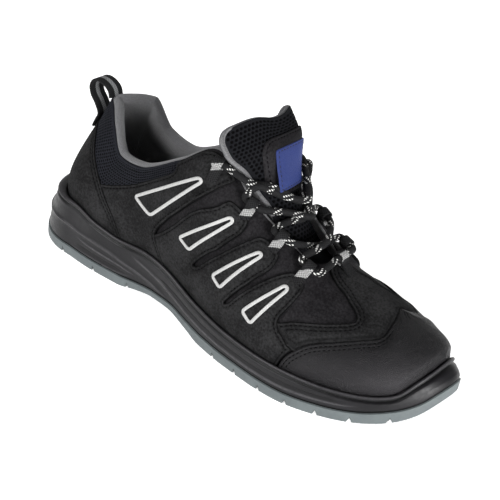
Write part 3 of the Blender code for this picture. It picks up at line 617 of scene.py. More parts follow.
def mouldedMaterial(name, dark, light, paintedHighlight, roughness, grain, depth, **constants):
    material, tree, shader = newMaterial(name, roughness, **constants)
    place = objectPlace(tree)
    patches = remap(tree, noise(tree, place, 0.06, 5.0, 0.6), 0.3, 0.7)
    highlightPatches = remap(tree, noise(tree, place, 0.5, 3.0, 0.6), 0.25, 0.6, 0.45, 1.0)
    # painted highlight along the crests and the rolled rim, broken into patches
    paintedLight = times(tree, attribute(tree, "ridge"), highlightPatches)
    colour = mixColour(tree, paintedLight, mixColour(tree, patches, dark, light), paintedHighlight)
    # painted shade in the grooves, in the gap between rim and upper and along the foot of the wall
    colour = mixColour(tree, attribute(tree, "hollow"), colour, (0.0015, 0.0015, 0.0016))
    dull = remap(tree, noise(tree, place, 0.4, 4.0, 0.6), 0.3, 0.7, roughness - 0.05, roughness + 0.07)
    plug(tree, dull, shader.inputs["Roughness"])
    paint(tree, shader, colour, noise(tree, place, grain, 3.0, 0.6), depth)
    return material


# The third colour is the painted highlight along the crests
foam = mouldedMaterial(
    "charcoalFoam", (0.0045, 0.0042, 0.0052), (0.008, 0.0075, 0.009), (0.085, 0.082, 0.088), 0.4,
    grain=2.2, depth=0.05, specular=0.24)
rubber = mouldedMaterial(
    "paleRubber", (0.084, 0.098, 0.101), (0.104, 0.121, 0.124), (0.15, 0.168, 0.168), 0.55,
    grain=1.6, depth=0.05, specular=0.4)


# Knitted lining: fine ribs with a heathered yarn
def liningMaterial():
    material, tree, shader = newMaterial("greyKnit", 0.95, 0.2, sheenWeight=0.3, sheenRoughness=0.5)
    weave = placeGroup(tree, weaveGroup, pitchAcross=0.75, pitchAlong=0.55)
    yarn = noise(tree, objectPlace(tree), 1.6, 4.0, 0.7)
    heather = mixColour(tree, remap(tree, yarn, 0.35, 0.65), (0.094, 0.094, 0.098), (0.162, 0.162, 0.168))
    colour = mixColour(tree, times(tree, weave["height"], 0.5), heather, (0.215, 0.215, 0.222))
    paint(tree, shader, colour, weave["height"], 0.25)
    return material


# Mesh cloth: the sunken holes carry their depth as an attribute and are painted dark as shade, and the
# threads on top take a paler colour as a painted highlight
def meshMaterial(name, thread, hole, gleam):
    material, tree, shader = newMaterial(name, 0.75, 0.05)
    weave = placeGroup(tree, weaveGroup, pitchAcross=0.32, pitchAlong=0.32)
    # painted highlight on the threads on top
    cloth = mixColour(tree, weave["over"], thread, gleam)
    # painted shade in the sunken holes
    cloth = mixColour(tree, remap(tree, attribute(tree, "pit"), 0.15, 0.7), cloth, hole)
    colour = mixColour(tree, attribute(tree, "lined"), cloth, (0.13, 0.13, 0.134))
    paint(tree, shader, colour, weave["height"], 0.1)
    return material


lining = liningMaterial()
# thread, painted shade in the holes, painted highlight on the threads on top
collarCloth = meshMaterial(
    "collarCloth", (0.0075, 0.008, 0.0105), (0.0005, 0.0005, 0.0007), (0.024, 0.0255, 0.032))
tongueCloth = meshMaterial(
    "tongueCloth", (0.0055, 0.0057, 0.0069), (0.0004, 0.0004, 0.0006), (0.0125, 0.013, 0.0152))


def wovenMaterial(name, warp, weft, roughness, pitch, depth, specular=0.25):
    material, tree, shader = newMaterial(name, roughness, specular)
    weave = placeGroup(tree, weaveGroup, pitchAcross=pitch, pitchAlong=pitch)
    fleck = remap(tree, noise(tree, objectPlace(tree), 1.3, 2.0, 0.5), 0.42, 0.58)
    colour = mixColour(tree, times(tree, weave["over"], fleck), warp, weft)
    paint(tree, shader, colour, weave["height"], depth)
    return material


binding = wovenMaterial("greyBinding", (0.13, 0.13, 0.135), (0.22, 0.22, 0.225), 0.85, 0.5, 0.15)
labelCloth = wovenMaterial("blueLabel", (0.018, 0.031, 0.13), (0.026, 0.041, 0.165), 0.6, 0.28, 0.06)
labelEdge = wovenMaterial("labelBorder", (0.012, 0.014, 0.03), (0.03, 0.034, 0.07), 0.6, 0.4, 0.1)
thread = wovenMaterial("blackThread", (0.0012, 0.0012, 0.0014), (0.003, 0.003, 0.0033), 0.8, 0.3, 0.08, 0.03)


# Reflective print: a fine net of beads under a clear skin
def reflectiveMaterial():
    material, tree, shader = newMaterial("reflectiveTrim", 0.4, 0.5, coatWeight=0.15)
    beads = cells(tree, objectPlace(tree), 1.7)
    colour = mixColour(tree, remap(tree, beads, 0.15, 0.6), (0.5, 0.5, 0.49), (0.37, 0.37, 0.365))
    paint(tree, shader, colour, beads, 0.12)
    return material


reflective = reflectiveMaterial()


# Round braid: dark yarns with pale flecks in slanting groups; the sheet's X is round the cord, Y along it
def laceMaterial():
    girth, yarns, pitch = 13.2, 8, 2.6      # eight yarns each way round the cord
    material, tree, shader = newMaterial("fleckedLace", 0.75, 0.15)
    around, along = sheetPlace(tree)
    turn, run = calculate(tree, "DIVIDE", around, girth / yarns), calculate(tree, "DIVIDE", along, pitch)
    right, left = calculate(tree, "ADD", turn, run), calculate(tree, "SUBTRACT", turn, run)
    pair = calculate(tree, "MODULO", calculate(tree, "ADD", right, 800.0), 2.0)
    drift = noise(tree, objectPlace(tree), 0.05, 2.0)
    cluster = calculate(tree, "FRACT", calculate(tree, "ADD", calculate(tree, "DIVIDE", along, 13.0), drift))
    pale = times(tree, calculate(tree, "LESS_THAN", pair, 1.0), calculate(tree, "LESS_THAN", cluster, 0.36))
    step = calculate(tree, "FRACT", calculate(tree, "ADD", left, 800.0))
    shown = times(tree, remap(tree, step, 0.12, 0.25), remap(tree, step, 0.62, 0.75, 1.0, 0.0))
    yarn = calculate(tree, "FRACT", right)
    rounded = times(tree, remap(tree, yarn, 0.0, 0.2), remap(tree, yarn, 0.8, 1.0, 1.0, 0.0))
    mottle = noise(tree, objectPlace(tree), 1.2)
    dark = mixColour(tree, mottle, (0.006, 0.006, 0.0065), (0.014, 0.014, 0.0148))
    colour = mixColour(tree, times(tree, pale, shown, rounded), dark, (0.72, 0.72, 0.70))
    paint(tree, shader, colour, times(tree, rounded, shown), 0.25)
    return material


# Black webbing with a pale reflective stripe woven in
def stripedMaterial(name, dull, bright):
    material, tree, shader = newMaterial(name, 0.75, 0.1)
    weave = placeGroup(tree, weaveGroup, pitchAcross=0.8, pitchAlong=0.7)
    cloth = mixColour(tree, weave["over"], (0.007, 0.007, 0.0075), (0.018, 0.018, 0.019))
    pale = mixColour(tree, weave["over"], dull, bright)
    stripe = remap(tree, attribute(tree, "stripe"), 0.35, 0.65)
    paint(tree, shader, mixColour(tree, stripe, cloth, pale), weave["height"], 0.22)
    return material


laceCord = laceMaterial()
pullCloth = stripedMaterial("pullWebbing", (0.14, 0.145, 0.15), (0.32, 0.325, 0.33))
webbing = stripedMaterial("loopWebbing", (0.15, 0.15, 0.15), (0.4, 0.4, 0.395))
print("materials:", len(bpy.data.materials))


# Rings of places round the foot, with the vamp point among them on both sides
def ringPlaces(back, front, extra=()):
    vamp = float(aroundOf(last["vampPoint"]))
    half = [np.linspace(0, vamp, back)[:-1], np.linspace(vamp, 1, front), aroundOf(np.array(extra))]
    half = np.unique(np.round(np.concatenate(half), 7))
    half = half[np.concatenate([[True], np.diff(half) > 2e-4])]
    return np.concatenate([half, 2 - half[-2::-1]])


# A piece made of rings round the foot, closed along the seam at the heel
def ringPiece(name, rows, sharpest=42, drop=None, **values):
    grid = np.stack(rows)
    along = lengthAlong(grid[len(grid) // 2])
    up = np.concatenate([[0], np.cumsum(np.linalg.norm(np.diff(grid, axis=0), axis=2).mean(1))])
    return gridPiece(name, grid, along, up[:, None], sharpest, drop, **values)


# The middle line between the two sides of a ring, which closes it flat
def middleOf(ring):
    return (ring + ring[::-1]) / 2


# Outsole: a tread layer with cross grooves that nick its edge
outsole = {
    "foreGrooves": (171.0, 18.5, 7),    # first station, pitch, how many
    "heelGrooves": (35.0, 28.0, 3),
    "grooveHalf": 1.35,
    "grooveDepth": 3.3,
    "edgeRound": 1.0,
    "innerInset": 15.0,         # a groove that follows the edge
    "innerDepth": 1.8,
}


def grooveStations():
    stations = []
    for start, pitch, count in (outsole["foreGrooves"], outsole["heelGrooves"]):
        stations += [start + pitch * i for i in range(count)]
    return np.array(stations)


def buildOutsole():
    grooves, half = grooveStations(), outsole["grooveHalf"]
    extra = np.concatenate([grooves + k * half for k in (-1.6, -1, -0.5, 0, 0.5, 1, 1.6)])
    places = ringPlaces(150, 110, extra)
    station = stationOf(places)
    tread = rowsAt(soleRows, station, 1)
    top = tread + rowsAt(soleRows, station, 2)
    near = np.abs(station[:, None] - grooves).min(1)
    lift = outsole["grooveDepth"] * np.clip(1 - near / half, 0, 1)
    turn, deep, side = outsole["edgeRound"], outsole["innerDepth"], outsole["innerInset"]

    def ring(inset, z):
        return insetRing(places, inset, z)

    # the foot of the wall follows the nicks, the rest of the wall is straight
    rows = [middleOf(ring(20.0, top)), ring(20.0, top)]
    rows += [ring(0.5, top), ring(0.1, top - 0.15), ring(0.0, top - 0.6)]
    rows += [ring(0.0, np.maximum(tread + 2.2, tread + lift + 0.05)), ring(0.0, tread + turn + lift * 0.98)]
    for angle in np.linspace(0.4, math.pi / 2, 4):
        rows.append(ring(turn * (1 - math.cos(angle)), tread + turn * (1 - math.sin(angle)) + lift))
    rows.append(ring(6.0, tread + lift))
    for past, sunk in ((-1.4, 0), (-0.7, 1), (0.7, 1), (1.4, 0), (6, 0)):
        rows.append(ring(side + past, tread + np.maximum(lift, sunk * deep)))
    rows.append(middleOf(rows[-1]))
    return dress(ringPiece("outsoleTread", rows, 35), rubber, "outsole", "outsole")


buildOutsole()

# Midsole: a moulded wall with a rolled rim, and crests that run along it. Station, share of the wall's height
midsole = {
    "lip": 2.2,             # width of the rolled rim
    "rollHigh": 1.3,
    "heelLedge": 4.3,       # how much wider it is round the heel, and where that ends
    "heelLedgeEnd": (10.0, 50.0),
    "beadDrop": 2.9,        # the groove under the rim, below the rim's top
    "beadDepth": 1.2,
    "beadHalf": 0.8,
    "setBack": 0.6,         # the wall between the crests
    "rollRows": 7,
    "rollHighlight": 0.45,        # how pale the painted highlight along the rim is
    "wallRows": 76,
    "evenOver": 21,         # places over which the rim is evened out, against a kink where the toe turns
    "rise": 9.0,            # how gently a crest begins and runs out
    "fade": 14.0,
    "crests": (
        # height in millimetres, half width, how pale its painted highlight is, then the line; one without a
        # highlight is a groove with painted shade
        (1.2, 1.5, 0.5, ((0, 0.46), (31, 0.50), (44, 0.48), (58, 0.52), (71, 0.52), (92, 0.39), (107, 0.26),
                         (126, 0.1))),
        (0.7, 0.6, 0.5, ((45, 0.34), (60, 0.32), (78, 0.31), (93, 0.23), (99, 0.18))),
        (0.6, 0.6, 0.45, ((40, 0.06), (59, 0.06), (74, 0.05), (88, 0.10), (96, 0.17))),
        (1.1, 0.9, 0.6, ((92, 0.74), (101, 0.63), (117, 0.48), (131, 0.37), (150, 0.33), (165, 0.31),
                         (190, 0.27), (215, 0.26), (240, 0.30), (256, 0.36), (268, 0.42))),
        (-0.8, 2.0, 0, ((46, 0.18), (60, 0.18), (78, 0.17), (92, 0.16))),
        (-0.5, 1.3, 0, ((112, 0.56), (140, 0.54), (190, 0.48), (240, 0.5), (262, 0.56))),
    ),
}
# Height and lean of the wall
sideRows = ((0, 0), (0.12, 0.04), (0.42, 0.24), (0.54, 0.40), (0.74, 0.70), (0.88, 0.93), (1, 1))


def evenOut(values, count):
    window, half = np.hanning(count) / np.hanning(count).sum(), count // 2
    return np.convolve(np.concatenate([values[-half - 1:-1], values, values[1:half + 1]]), window, "valid")


# What the crests do at one height of the wall: how far they stand out, their painted highlight and their
# painted shade
def crestsAt(station, above, tall):
    out, pale, dark = np.zeros((3, len(station)))
    for height, half, tone, line in midsole["crests"]:
        line = np.array(line, float)
        first, final = line[0, 0], line[-1, 0]
        level = rowsAt(line, np.clip(station, first, final), 1)
        ends = ease(station, first - 1, first + midsole["rise"]) if first > 0 else 1
        ends = ends * (1 - ease(station, final - midsole["fade"], final))
        off = np.abs(above - level * tall) / half
        out = out + height * ends * np.exp(-1.5 * off)
        # a crest gets a painted highlight along its top, a groove gets painted shade
        if tone:
            pale = np.maximum(pale, tone * ends * np.exp(-(off * half / 0.55) ** 2))
        else:
            dark = np.maximum(dark, 0.5 * ends * np.exp(-off ** 2))
    return out, pale, dark


def buildMidsole():
    places = ringPlaces(190, 150)
    station = stationOf(places)
    bottom = rowsAt(soleRows, station, 1) + rowsAt(soleRows, station, 2) + 0.1
    rim = evenOut(rowsAt(soleRows, station, 4), midsole["evenOver"])
    deck = rowsAt(soleRows, station, 3)
    seat = rowsAt(soleRows, station, 5) - 2.3
    tall, one = rim - bottom, np.ones(len(places))
    lip = midsole["lip"] + midsole["heelLedge"] * (1 - ease(station, *midsole["heelLedgeEnd"]))
    roll, back = midsole["rollHigh"], midsole["setBack"]

    def ring(inset, z):
        return insetRing(places, inset, z)

    rows = [middleOf(ring(seat + 0.2, deck)), ring(seat + 0.2, deck)]
    rows += [ring(seat + 0.1, deck + 1), ring(seat, rim - 1.2)]
    # painted shade in the gap between the rim and the upper
    dark, pale = [one] * 4, [one * 0] * 4
    for turn in np.linspace(0.15, 0.85, midsole["rollRows"]):      # the rolled rim
        angle = turn * math.pi
        rows.append(ring(seat - lip / 2 + lip / 2 * math.cos(angle), rim - roll + roll * math.sin(angle)))
        # painted shade on the rim's inner turn, painted highlight along its top
        dark.append(one - ease(turn, 0.2, 0.5))
        pale.append(one * midsole["rollHighlight"] * math.exp(-((turn - 0.7) / 0.2) ** 2))
    for share in np.linspace(1, 0, midsole["wallRows"]):
        z = bottom + (tall - roll) * share
        under = np.exp(-((rim - z - midsole["beadDrop"]) / midsole["beadHalf"]) ** 2)
        low = 1 - ease(z - bottom, 0.5, 1.7)
        out, paintedLight, hollow = crestsAt(station, z - bottom, tall)
        inset = back + (seat - lip - back) * rowsAt(sideRows, one * share, 1) + midsole["beadDepth"] * under
        rows.append(ring(np.maximum(inset - out + 0.5 * low, 0.0), z))
        # painted shade in the groove under the bead, in the grooves and along the foot of the wall; painted
        # highlight along the crests
        dark.append(np.maximum(np.maximum(hollow, 0.9 * under), low))
        pale.append(paintedLight)
    rows.append(ring(12.0, bottom))
    rows.append(middleOf(rows[-1]))
    # painted shade under the wall
    dark, pale = np.array(dark + [one] * 2), np.array(pale + [one * 0] * 2)
    return dress(ringPiece("midsoleUnit", rows, 60, hollow=dark, ridge=pale), foam, "midsole", "midsole")


buildMidsole()

# Footbed: dished, with a raised edge
footbed = {
    "inset": 2.7, "thick": 3.5, "dish": 1.2,
    # millimetres in from the edge, and how far down the dish
    "section": ((0.0, 0.8), (0.3, 0.25), (1.0, 0.0), (3.0, 0.25), (8.0, 0.8), (14.0, 1.1), (20.0, 1.2)),
}


def buildFootbed():
    places = ringPlaces(90, 60)
    station = stationOf(places)
    inset = rowsAt(soleRows, station, 5) + footbed["inset"]
    floor = rowsAt(soleRows, station, 3) + 0.3
    base = insetRing(places, inset, floor)
    rows = [middleOf(base), base]
    for more, down in footbed["section"]:
        rows.append(insetRing(places, inset + more, floor + footbed["thick"] - down * footbed["dish"]))
    rows.append(middleOf(rows[-1]))
    return dress(ringPiece("footbed", rows), lining, "lining", "insole")


buildFootbed()
print("sole: outsole, midsole and footbed")


# Upper: the lasted leather, one skin outside and one where the lining is glued on
upper = {"skin": 1.0, "rows": 46}


def skirtLow(station):
    return -(rowsAt(soleRows, station, 4) - rowsAt(soleRows, station, 3) - 0.3) / last["skirtPerShare"]


# Faces across the top edge are cut out past the vamp point, where both sides meet
def ridgeFaces(places, firstRow, lastRow):
    station = stationOf(places)

    def drop(column, row):
        closed = min(station[column], station[column + 1]) > last["vampPoint"] - 0.05
        return firstRow <= row < lastRow and closed

    return drop


def buildUpper():
    places = ringPlaces(170, 90)
    low = skirtLow(stationOf(places))
    shares = np.linspace(0, 1, upper["rows"])
    zero, deep = np.zeros(len(places)), np.full(len(places), -upper["skin"])
    rows = [skin(places, low, zero)] + [skin(places, share, zero) for share in shares]
    top = len(rows) - 1
    rows += [skin(places, share, deep) for share in shares[::-5]] + [skin(places, low, deep)]
    rows.append(rows[0])
    piece = ringPiece("upperShell", rows, 50, ridgeFaces(places, top, top + 1))
    return dress(piece, innerNubuck, "leather", "upper")


buildUpper()

# Lining: the padded collar rolls over the top edge and runs down inside
collar = {
    "gap": 0.05,
    "outerShares": (0, 0.3, 0.6, 0.8, 0.9, 0.96),
    "openEnd": (190.0, 214.0),      # stations between which the roll runs out
    "upright": 0.9,                 # how far the roll stands up
    "rollRows": 9,
    "rollRise": 0.30,
    "rows": 26,
    "pucker": 0.25,                 # the cloth gathers a little round the heel
    "puckerTurn": 0.32,
    "puckerEnd": (90.0, 130.0),
}


def buildLining():
    places = ringPlaces(220, 70)
    station, one = stationOf(places), np.ones(len(places))
    low, opened = skirtLow(station), 1 - ease(station, *collar["openEnd"])
    outer = one * (-upper["skin"] - collar["gap"])
    rows = [skin(places, share, outer) for share in (low, *collar["outerShares"])]
    top = len(rows)
    thick, rim, side = wallThickness(places, one), lastSurface(places, one), skinNormal(places, one)
    up = unit(rim - lastSurface(places, 0.97 * one))
    up = unit(up + collar["upright"] * np.array([0, 0, 1.0]) * opened[:, None])
    for angle in np.linspace(0, math.pi, collar["rollRows"]):       # over the edge, from outside to inside
        off = -thick / 2 + (thick / 2 - 0.15 * opened - (1 - opened)) * math.cos(angle)
        rise = (thick * collar["rollRise"] + 0.8) * math.sin(angle) * opened
        rows.append(rim + side * off[:, None] + up * rise[:, None])
    bottom = len(rows) - 1
    gathers = collar["pucker"] * np.sin(lengthAlong(rim) * collar["puckerTurn"])
    for share in np.linspace(0.985, 0, collar["rows"]):
        share = one * share
        pucker = gathers * ease(share, 0.4, 0.9) * (1 - ease(station, *collar["puckerEnd"]))
        rows.append(skin(places, share, -wallThickness(places, share) + pucker))
    rows += [skin(places, low, one * -last["wall"]), rows[0]]
    piece = ringPiece("collarLining", rows, 60, ridgeFaces(places, top - 1, bottom + 1))
    dress(piece, lining, "lining")
    return piece


buildLining()

# Collar mesh: a cloth panel round the heel, under the counter and the quarters, with rows of dots sunk in
collarMesh = {
    "frontStation": 106.0,
    "low": ((0, 0.66), (20, 0.64), (36, 0.55), (52, 0.46), (66.5, 0.62), (82, 0.735), (100, 0.752),
            (107, 0.78)),
    "high": 0.995,
    "thick": 1.0,
    "columns": 440,
    "rows": 60,
    "pitch": 2.0,
    "dot": 0.62,
    "depth": 0.5,
}


def hexPits(across, along, pitch, radius):
    row = pitch * math.sqrt(3) / 2
    best = np.full(np.shape(across), 9.0)
    for k in (0, 1):
        j = 2 * np.rint((along / row - k) / 2) + k
        i = np.rint(across / pitch - k / 2) + k / 2
        best = np.minimum(best, np.hypot(across - i * pitch, along - j * row))
    return 1 - ease(best, radius * 0.55, radius * 1.25)


def buildCollarMesh():
    cloth = collarMesh
    front = float(aroundOf(cloth["frontStation"]))
    around = np.linspace(-front, front, cloth["columns"] + 1)
    share = np.linspace(rowsAt(cloth["low"], stationOf(around), 1), cloth["high"], cloth["rows"] + 1)
    grid, count = np.broadcast_to(around, share.shape), np.arange(len(around))
    flat = skin(grid, share, np.zeros(share.shape))
    along = lengthAlong(flat[-(len(flat) // 3) - 1])
    up = np.cumsum(np.linalg.norm(np.diff(flat, axis=0, prepend=flat[:1]), axis=2), 0)
    up = up - up[-1]
    pit = hexPits(np.broadcast_to(along, up.shape), up, cloth["pitch"], cloth["dot"])
    pit = pit * (1 - ease(up, -2.2, -1.0))
    ends = ease(np.minimum(count, count[::-1]), 0, 3)
    height = cloth["thick"] * (0.35 + 0.65 * ease(-up, 0.0, 0.9)) + 0.5 * ease(-up, 1, 9)
    face = skin(grid, share, (height - cloth["depth"] * pit) * ends)
    back = skin(grid[[-1, 0]], share[[-1, 0]], np.full((2, len(around)), -0.05))
    rows = np.concatenate([face, back, face[:1]])
    sheetUp = np.concatenate([up, up[-1:] + 1, up[:1] - 2, up[:1] - 1])
    pits = np.concatenate([pit, np.zeros((3, len(around)))])
    return dress(gridPiece("collarMesh", rows, along, sheetUp, 60, pit=pits), collarCloth, "fabric")


buildCollarMesh()
print("upper: shell, lining and collar mesh")


# Panels: a pattern of station, share and corner rounding, laid on the last. The lower ones run on under the
# upper ones.
panels = {
    "capPanel": {
        "pattern": ((216, -0.05, 0), (219, 0.1, 6), (224, 0.2, 6), (231.7, 0.322, 8), (255.8, 0.503, 12),
                    (271, 0.606, 6), (275, 0.77, 8), (280, 0.94, 6), (281.5, 1.0, 0), (300, 1.0, 0),
                    (300, -0.05, 0)),
        "top": 1.9, "puff": 0.3, "stitches": (2.0, 4.2), "seams": ((0.3, 8),), "split": False,
        "nodes": ("toe_cap",), "slot": "cap",
    },
    "vampBand": {
        "pattern": ((217.3, 0.93, 0), (216.5, 1.0, 0), (283.5, 1.0, 0), (282, 0.94, 6), (277, 0.775, 8),
                    (273, 0.585, 6), (256.8, 0.478, 12), (232.7, 0.297, 8), (224, 0.18, 0), (216, 0.2, 0),
                    (206, 0.29, 4), (204, 0.33, 0), (208.3, 0.343, 0), (231.4, 0.49, 10), (252, 0.65, 6),
                    (247.3, 0.73, 6), (234, 0.805, 8), (220.8, 0.87, 6)),
        "top": 1.25, "puff": 0.25, "stitches": (2.0, 4.2), "seams": ((12, 17.9),), "split": False,
        "nodes": ("vamp_overlay",), "slot": "leather",
    },
    "eyestayPanel": {
        "pattern": ((110, -0.05, 0), (215.2, -0.05, 0), (218.2, 0.105, 6), (222.6, 0.193, 0),
                    (218.8, 0.205, 0), (208.8, 0.292, 4), (206.3, 0.37, 4), (210.0, 0.51, 8),
                    (211.8, 0.68, 5), (201.2, 0.80, 5),
                    (196.2, 0.72, 6), (186, 0.475, 0), (173, 0.195, 3), (169.2, 0.165, 3), (181, 0.42, 0),
                    (190, 0.66, 6), (189.5, 0.83, 5), (176, 0.84, 5), (165.6, 0.615, 6), (156, 0.425, 0),
                    (144, 0.205, 3), (139, 0.17, 3), (153.5, 0.43, 0), (164.2, 0.7, 6), (163.5, 0.85, 5),
                    (150, 0.82, 5), (143.2, 0.61, 6), (117, 0.285, 4), (111, 0.23, 6), (104, 0.17, 0),
                    (105, 0.105, 0)),
        "top": 1.7, "puff": 0.3, "stitches": (2.1,), "seams": ((2, 12.6), (13.4, 20.6), (21.4, 28)),
        "split": True,
        "nodes": ("eyestay_lateral", "eyestay_medial"), "slot": "leather",
    },
    "rearQuarter": {
        "pattern": ((78, -0.05, 0), (118.0, -0.05, 0), (108.5, 0.105, 8), (105.0, 0.2, 8), (111, 0.31, 6),
                    (127, 0.474, 8), (137, 0.63, 8), (143.5, 0.82, 6), (147, 0.96, 3), (130, 0.965, 8),
                    (106, 0.965, 3), (107.5, 0.815, 3), (100, 0.782, 8), (82, 0.777, 10),
                    (50, 0.485, 0), (63, 0.30, 10), (73, 0.11, 10)),
        "top": 2.0, "puff": 0.3, "stitches": (2.1,), "seams": ((1.3, 14),), "split": True,
        "nodes": ("rear_quarter_lateral", "rear_quarter_medial"), "slot": "leather",
    },
    "counterPanel": {
        "pattern": ((0, -0.05, 0), (82, -0.05, 0), (76, 0.136, 10), (66, 0.323, 10), (52, 0.505, 10),
                    (36, 0.625, 10), (20, 0.71, 10), (0, 0.73, 0)),
        "top": 2.3, "puff": 0.2, "stitches": (2.0, 4.2), "seams": ((1.4, 7),), "split": False,
        "nodes": ("heel_counter",), "slot": "leather",
    },
}
panelCut = {
    "edgeStep": 1.4,
    "rings": (0.2, 0.5, 0.95, 1.5, 2.05, 2.6, 3.4, 4.2, 5.2),   # rows of points, real millimetres in
    "gridStep": 3.2,
    "wallShare": 0.62,          # the cut edge, before the skin turns over
    "round": 0.9,
    "trough": 0.42,             # stitches pull the skin down
    "troughHalf": 0.55,
    "under": -0.15,
    "puffFrom": (3.5, 16.0),    # millimetres in from the edge between which the panel fills out
    "lowest": 2.15,             # how thick it may be where it meets the sole
    "seamHalf": 0.7,            # painted shade along a row of stitches and in the cut edge
    "seamDark": 0.55,
    "edgeDark": (0.3, 0.95),
}
sides = ("lateral", "medial")


def onMiddle(places):
    around, share = footPlace(places)
    ridge = (share > 0.9999) & (stationOf(around) > last["vampPoint"] - 0.01)
    return np.stack([around < 0.0001, around > 0.9999, ridge])


# A corner drawn as a curve from one of its sides to the other; the first few numbers give a side's length
def roundedCorner(points, i, rounding, count, numbers=None):
    corner, ends = points[i], []
    for other in (points[i - 1], points[(i + 1) % len(points)]):
        reach = np.linalg.norm((other - corner)[:numbers])
        ends.append(corner + (other - corner) * min(0.5, rounding / reach))
    turn = np.linspace(0, 1, count)
    return [(1 - t) ** 2 * ends[0] + 2 * t * (1 - t) * corner + t * t * ends[1] for t in turn]


# Points along a pattern's edge, each with the number of its row, so that a seam can be named by rows
def patternEdge(pattern):
    corners = [patternPlace(aroundOf(station), share) for station, share, _ in pattern]
    points, tags = [], []
    for i, (_, _, rounding) in enumerate(pattern):
        if rounding:
            points += roundedCorner(corners, i, rounding, 7)
            tags += [i + (t - 0.5) * 0.3 for t in np.linspace(0, 1, 7)]
        else:
            points.append(corners[i])
            tags.append(float(i))
    tags.append(tags[0] + len(pattern))
    dense, rows = [], []
    for i, point in enumerate(points):
        following = points[(i + 1) % len(points)]
        steps = max(1, math.ceil(np.linalg.norm(following - point) / panelCut["edgeStep"]))
        for k in range(steps):
            dense.append(point + (following - point) * k / steps)
            rows.append(tags[i] + (tags[i + 1] - tags[i]) * k / steps)
    dense, rows = np.array(dense), np.array(rows)
    keep = np.linalg.norm(dense - np.roll(dense, 1, axis=0), axis=1) > 1e-4
    return dense[keep], rows[keep]


# How many real millimetres a step on the pattern makes, as a metric averaged over both sides of the shoe
def patternMetric(places):
    step = 0.4
    turn, rise = step / last["halfRound"], step / last["girth"]
    metric = 0
    for side, sign in zip(sides, (1, -1)):
        around, share = footPlace(places, side)
        high, low = np.minimum(share + rise, 1), np.minimum(share, 1 - rise) - rise
        across = (lastSurface(around + turn, share) - lastSurface(around - turn, share)) / (2 * step) * sign
        up = (lastSurface(around, high) - lastSurface(around, low)) / ((high - low) * last["girth"])[:, None]
        slopes = np.stack([across, up], -1)
        metric = metric + slopes.transpose(0, 2, 1) @ slopes / 2
    return metric + 0.02 * np.eye(2)     # the toe's tip has no width of its own


def edgeDistance(places, starts, ends):
    metric = np.linalg.cholesky(patternMetric(places))
    best = np.empty(len(places))
    for k in range(0, len(places), 600):
        part = slice(k, k + 600)
        a = (starts[None] - places[part, None]) @ metric[part]
        b = (ends[None] - places[part, None]) @ metric[part]
        along = b - a
        t = np.clip(-(a * along).sum(2) / np.maximum((along ** 2).sum(2), 1e-12), 0, 1)
        best[part] = np.linalg.norm(a + along * t[..., None], axis=2).min(1)
    return best


def isInside(places, edge):
    inside = np.zeros(len(places), bool)
    for a, b in zip(edge, np.roll(edge, -1, axis=0)):
        if a[1] == b[1]:
            continue
        spans = (a[1] > places[:, 1]) != (b[1] > places[:, 1])
        inside ^= spans & (places[:, 0] < a[0] + (places[:, 1] - a[1]) * (b[0] - a[0]) / (b[1] - a[1]))
    return inside


# Directions straight in from the edge, a real millimetre long; ends on a middle line stay on it
def inwardSteps(edge):
    along = np.roll(edge, -1, axis=0) - np.roll(edge, 1, axis=0)
    area = (edge[:, 0] * np.roll(edge[:, 1], -1) - np.roll(edge[:, 0], -1) * edge[:, 1]).sum()
    turned = np.stack([-along[:, 1], along[:, 0]], -1) * np.sign(area)
    metric = patternMetric(edge)
    steps = np.linalg.solve(metric, turned[..., None])[..., 0]
    heel, toe, ridge = onMiddle(edge)
    steps[heel | toe, 0] = 0
    steps[ridge, 1] = 0
    lengths = np.sqrt(np.maximum(np.einsum("ni,nij,nj->n", steps, metric, steps), 1e-12))
    return steps / lengths[:, None]


# Painted shade along each row of stitches and in the cut edge
def seamShade(panel, distance):
    rows = sum(np.exp(-((distance - row) / panelCut["seamHalf"]) ** 2) for row in panel["stitches"])
    return np.clip(rows * panelCut["seamDark"] + 1 - ease(distance, *panelCut["edgeDark"]), 0, 1)


def panelHeight(panel, distance, share):
    cut = panelCut
    turn = np.clip(distance / cut["round"], 0, 1)
    height = panel["top"] * (cut["wallShare"] + (1 - cut["wallShare"]) * np.sqrt(1 - (1 - turn) ** 2))
    height = height + panel["puff"] * ease(distance, *cut["puffFrom"])
    for row in panel["stitches"]:
        height = height - cut["trough"] * np.exp(-((distance - row) / cut["troughHalf"]) ** 2)
    return np.minimum(height, cut["lowest"] + 14 * np.maximum(share - 0.01, 0))


def thinOut(points, closest):
    kept, taken = [], set()
    for point in points:
        cell = (int(point[0] // closest), int(point[1] // closest))
        if cell not in taken:
            taken.add(cell)
            kept.append(point)
    return np.array(kept).reshape(-1, 2)


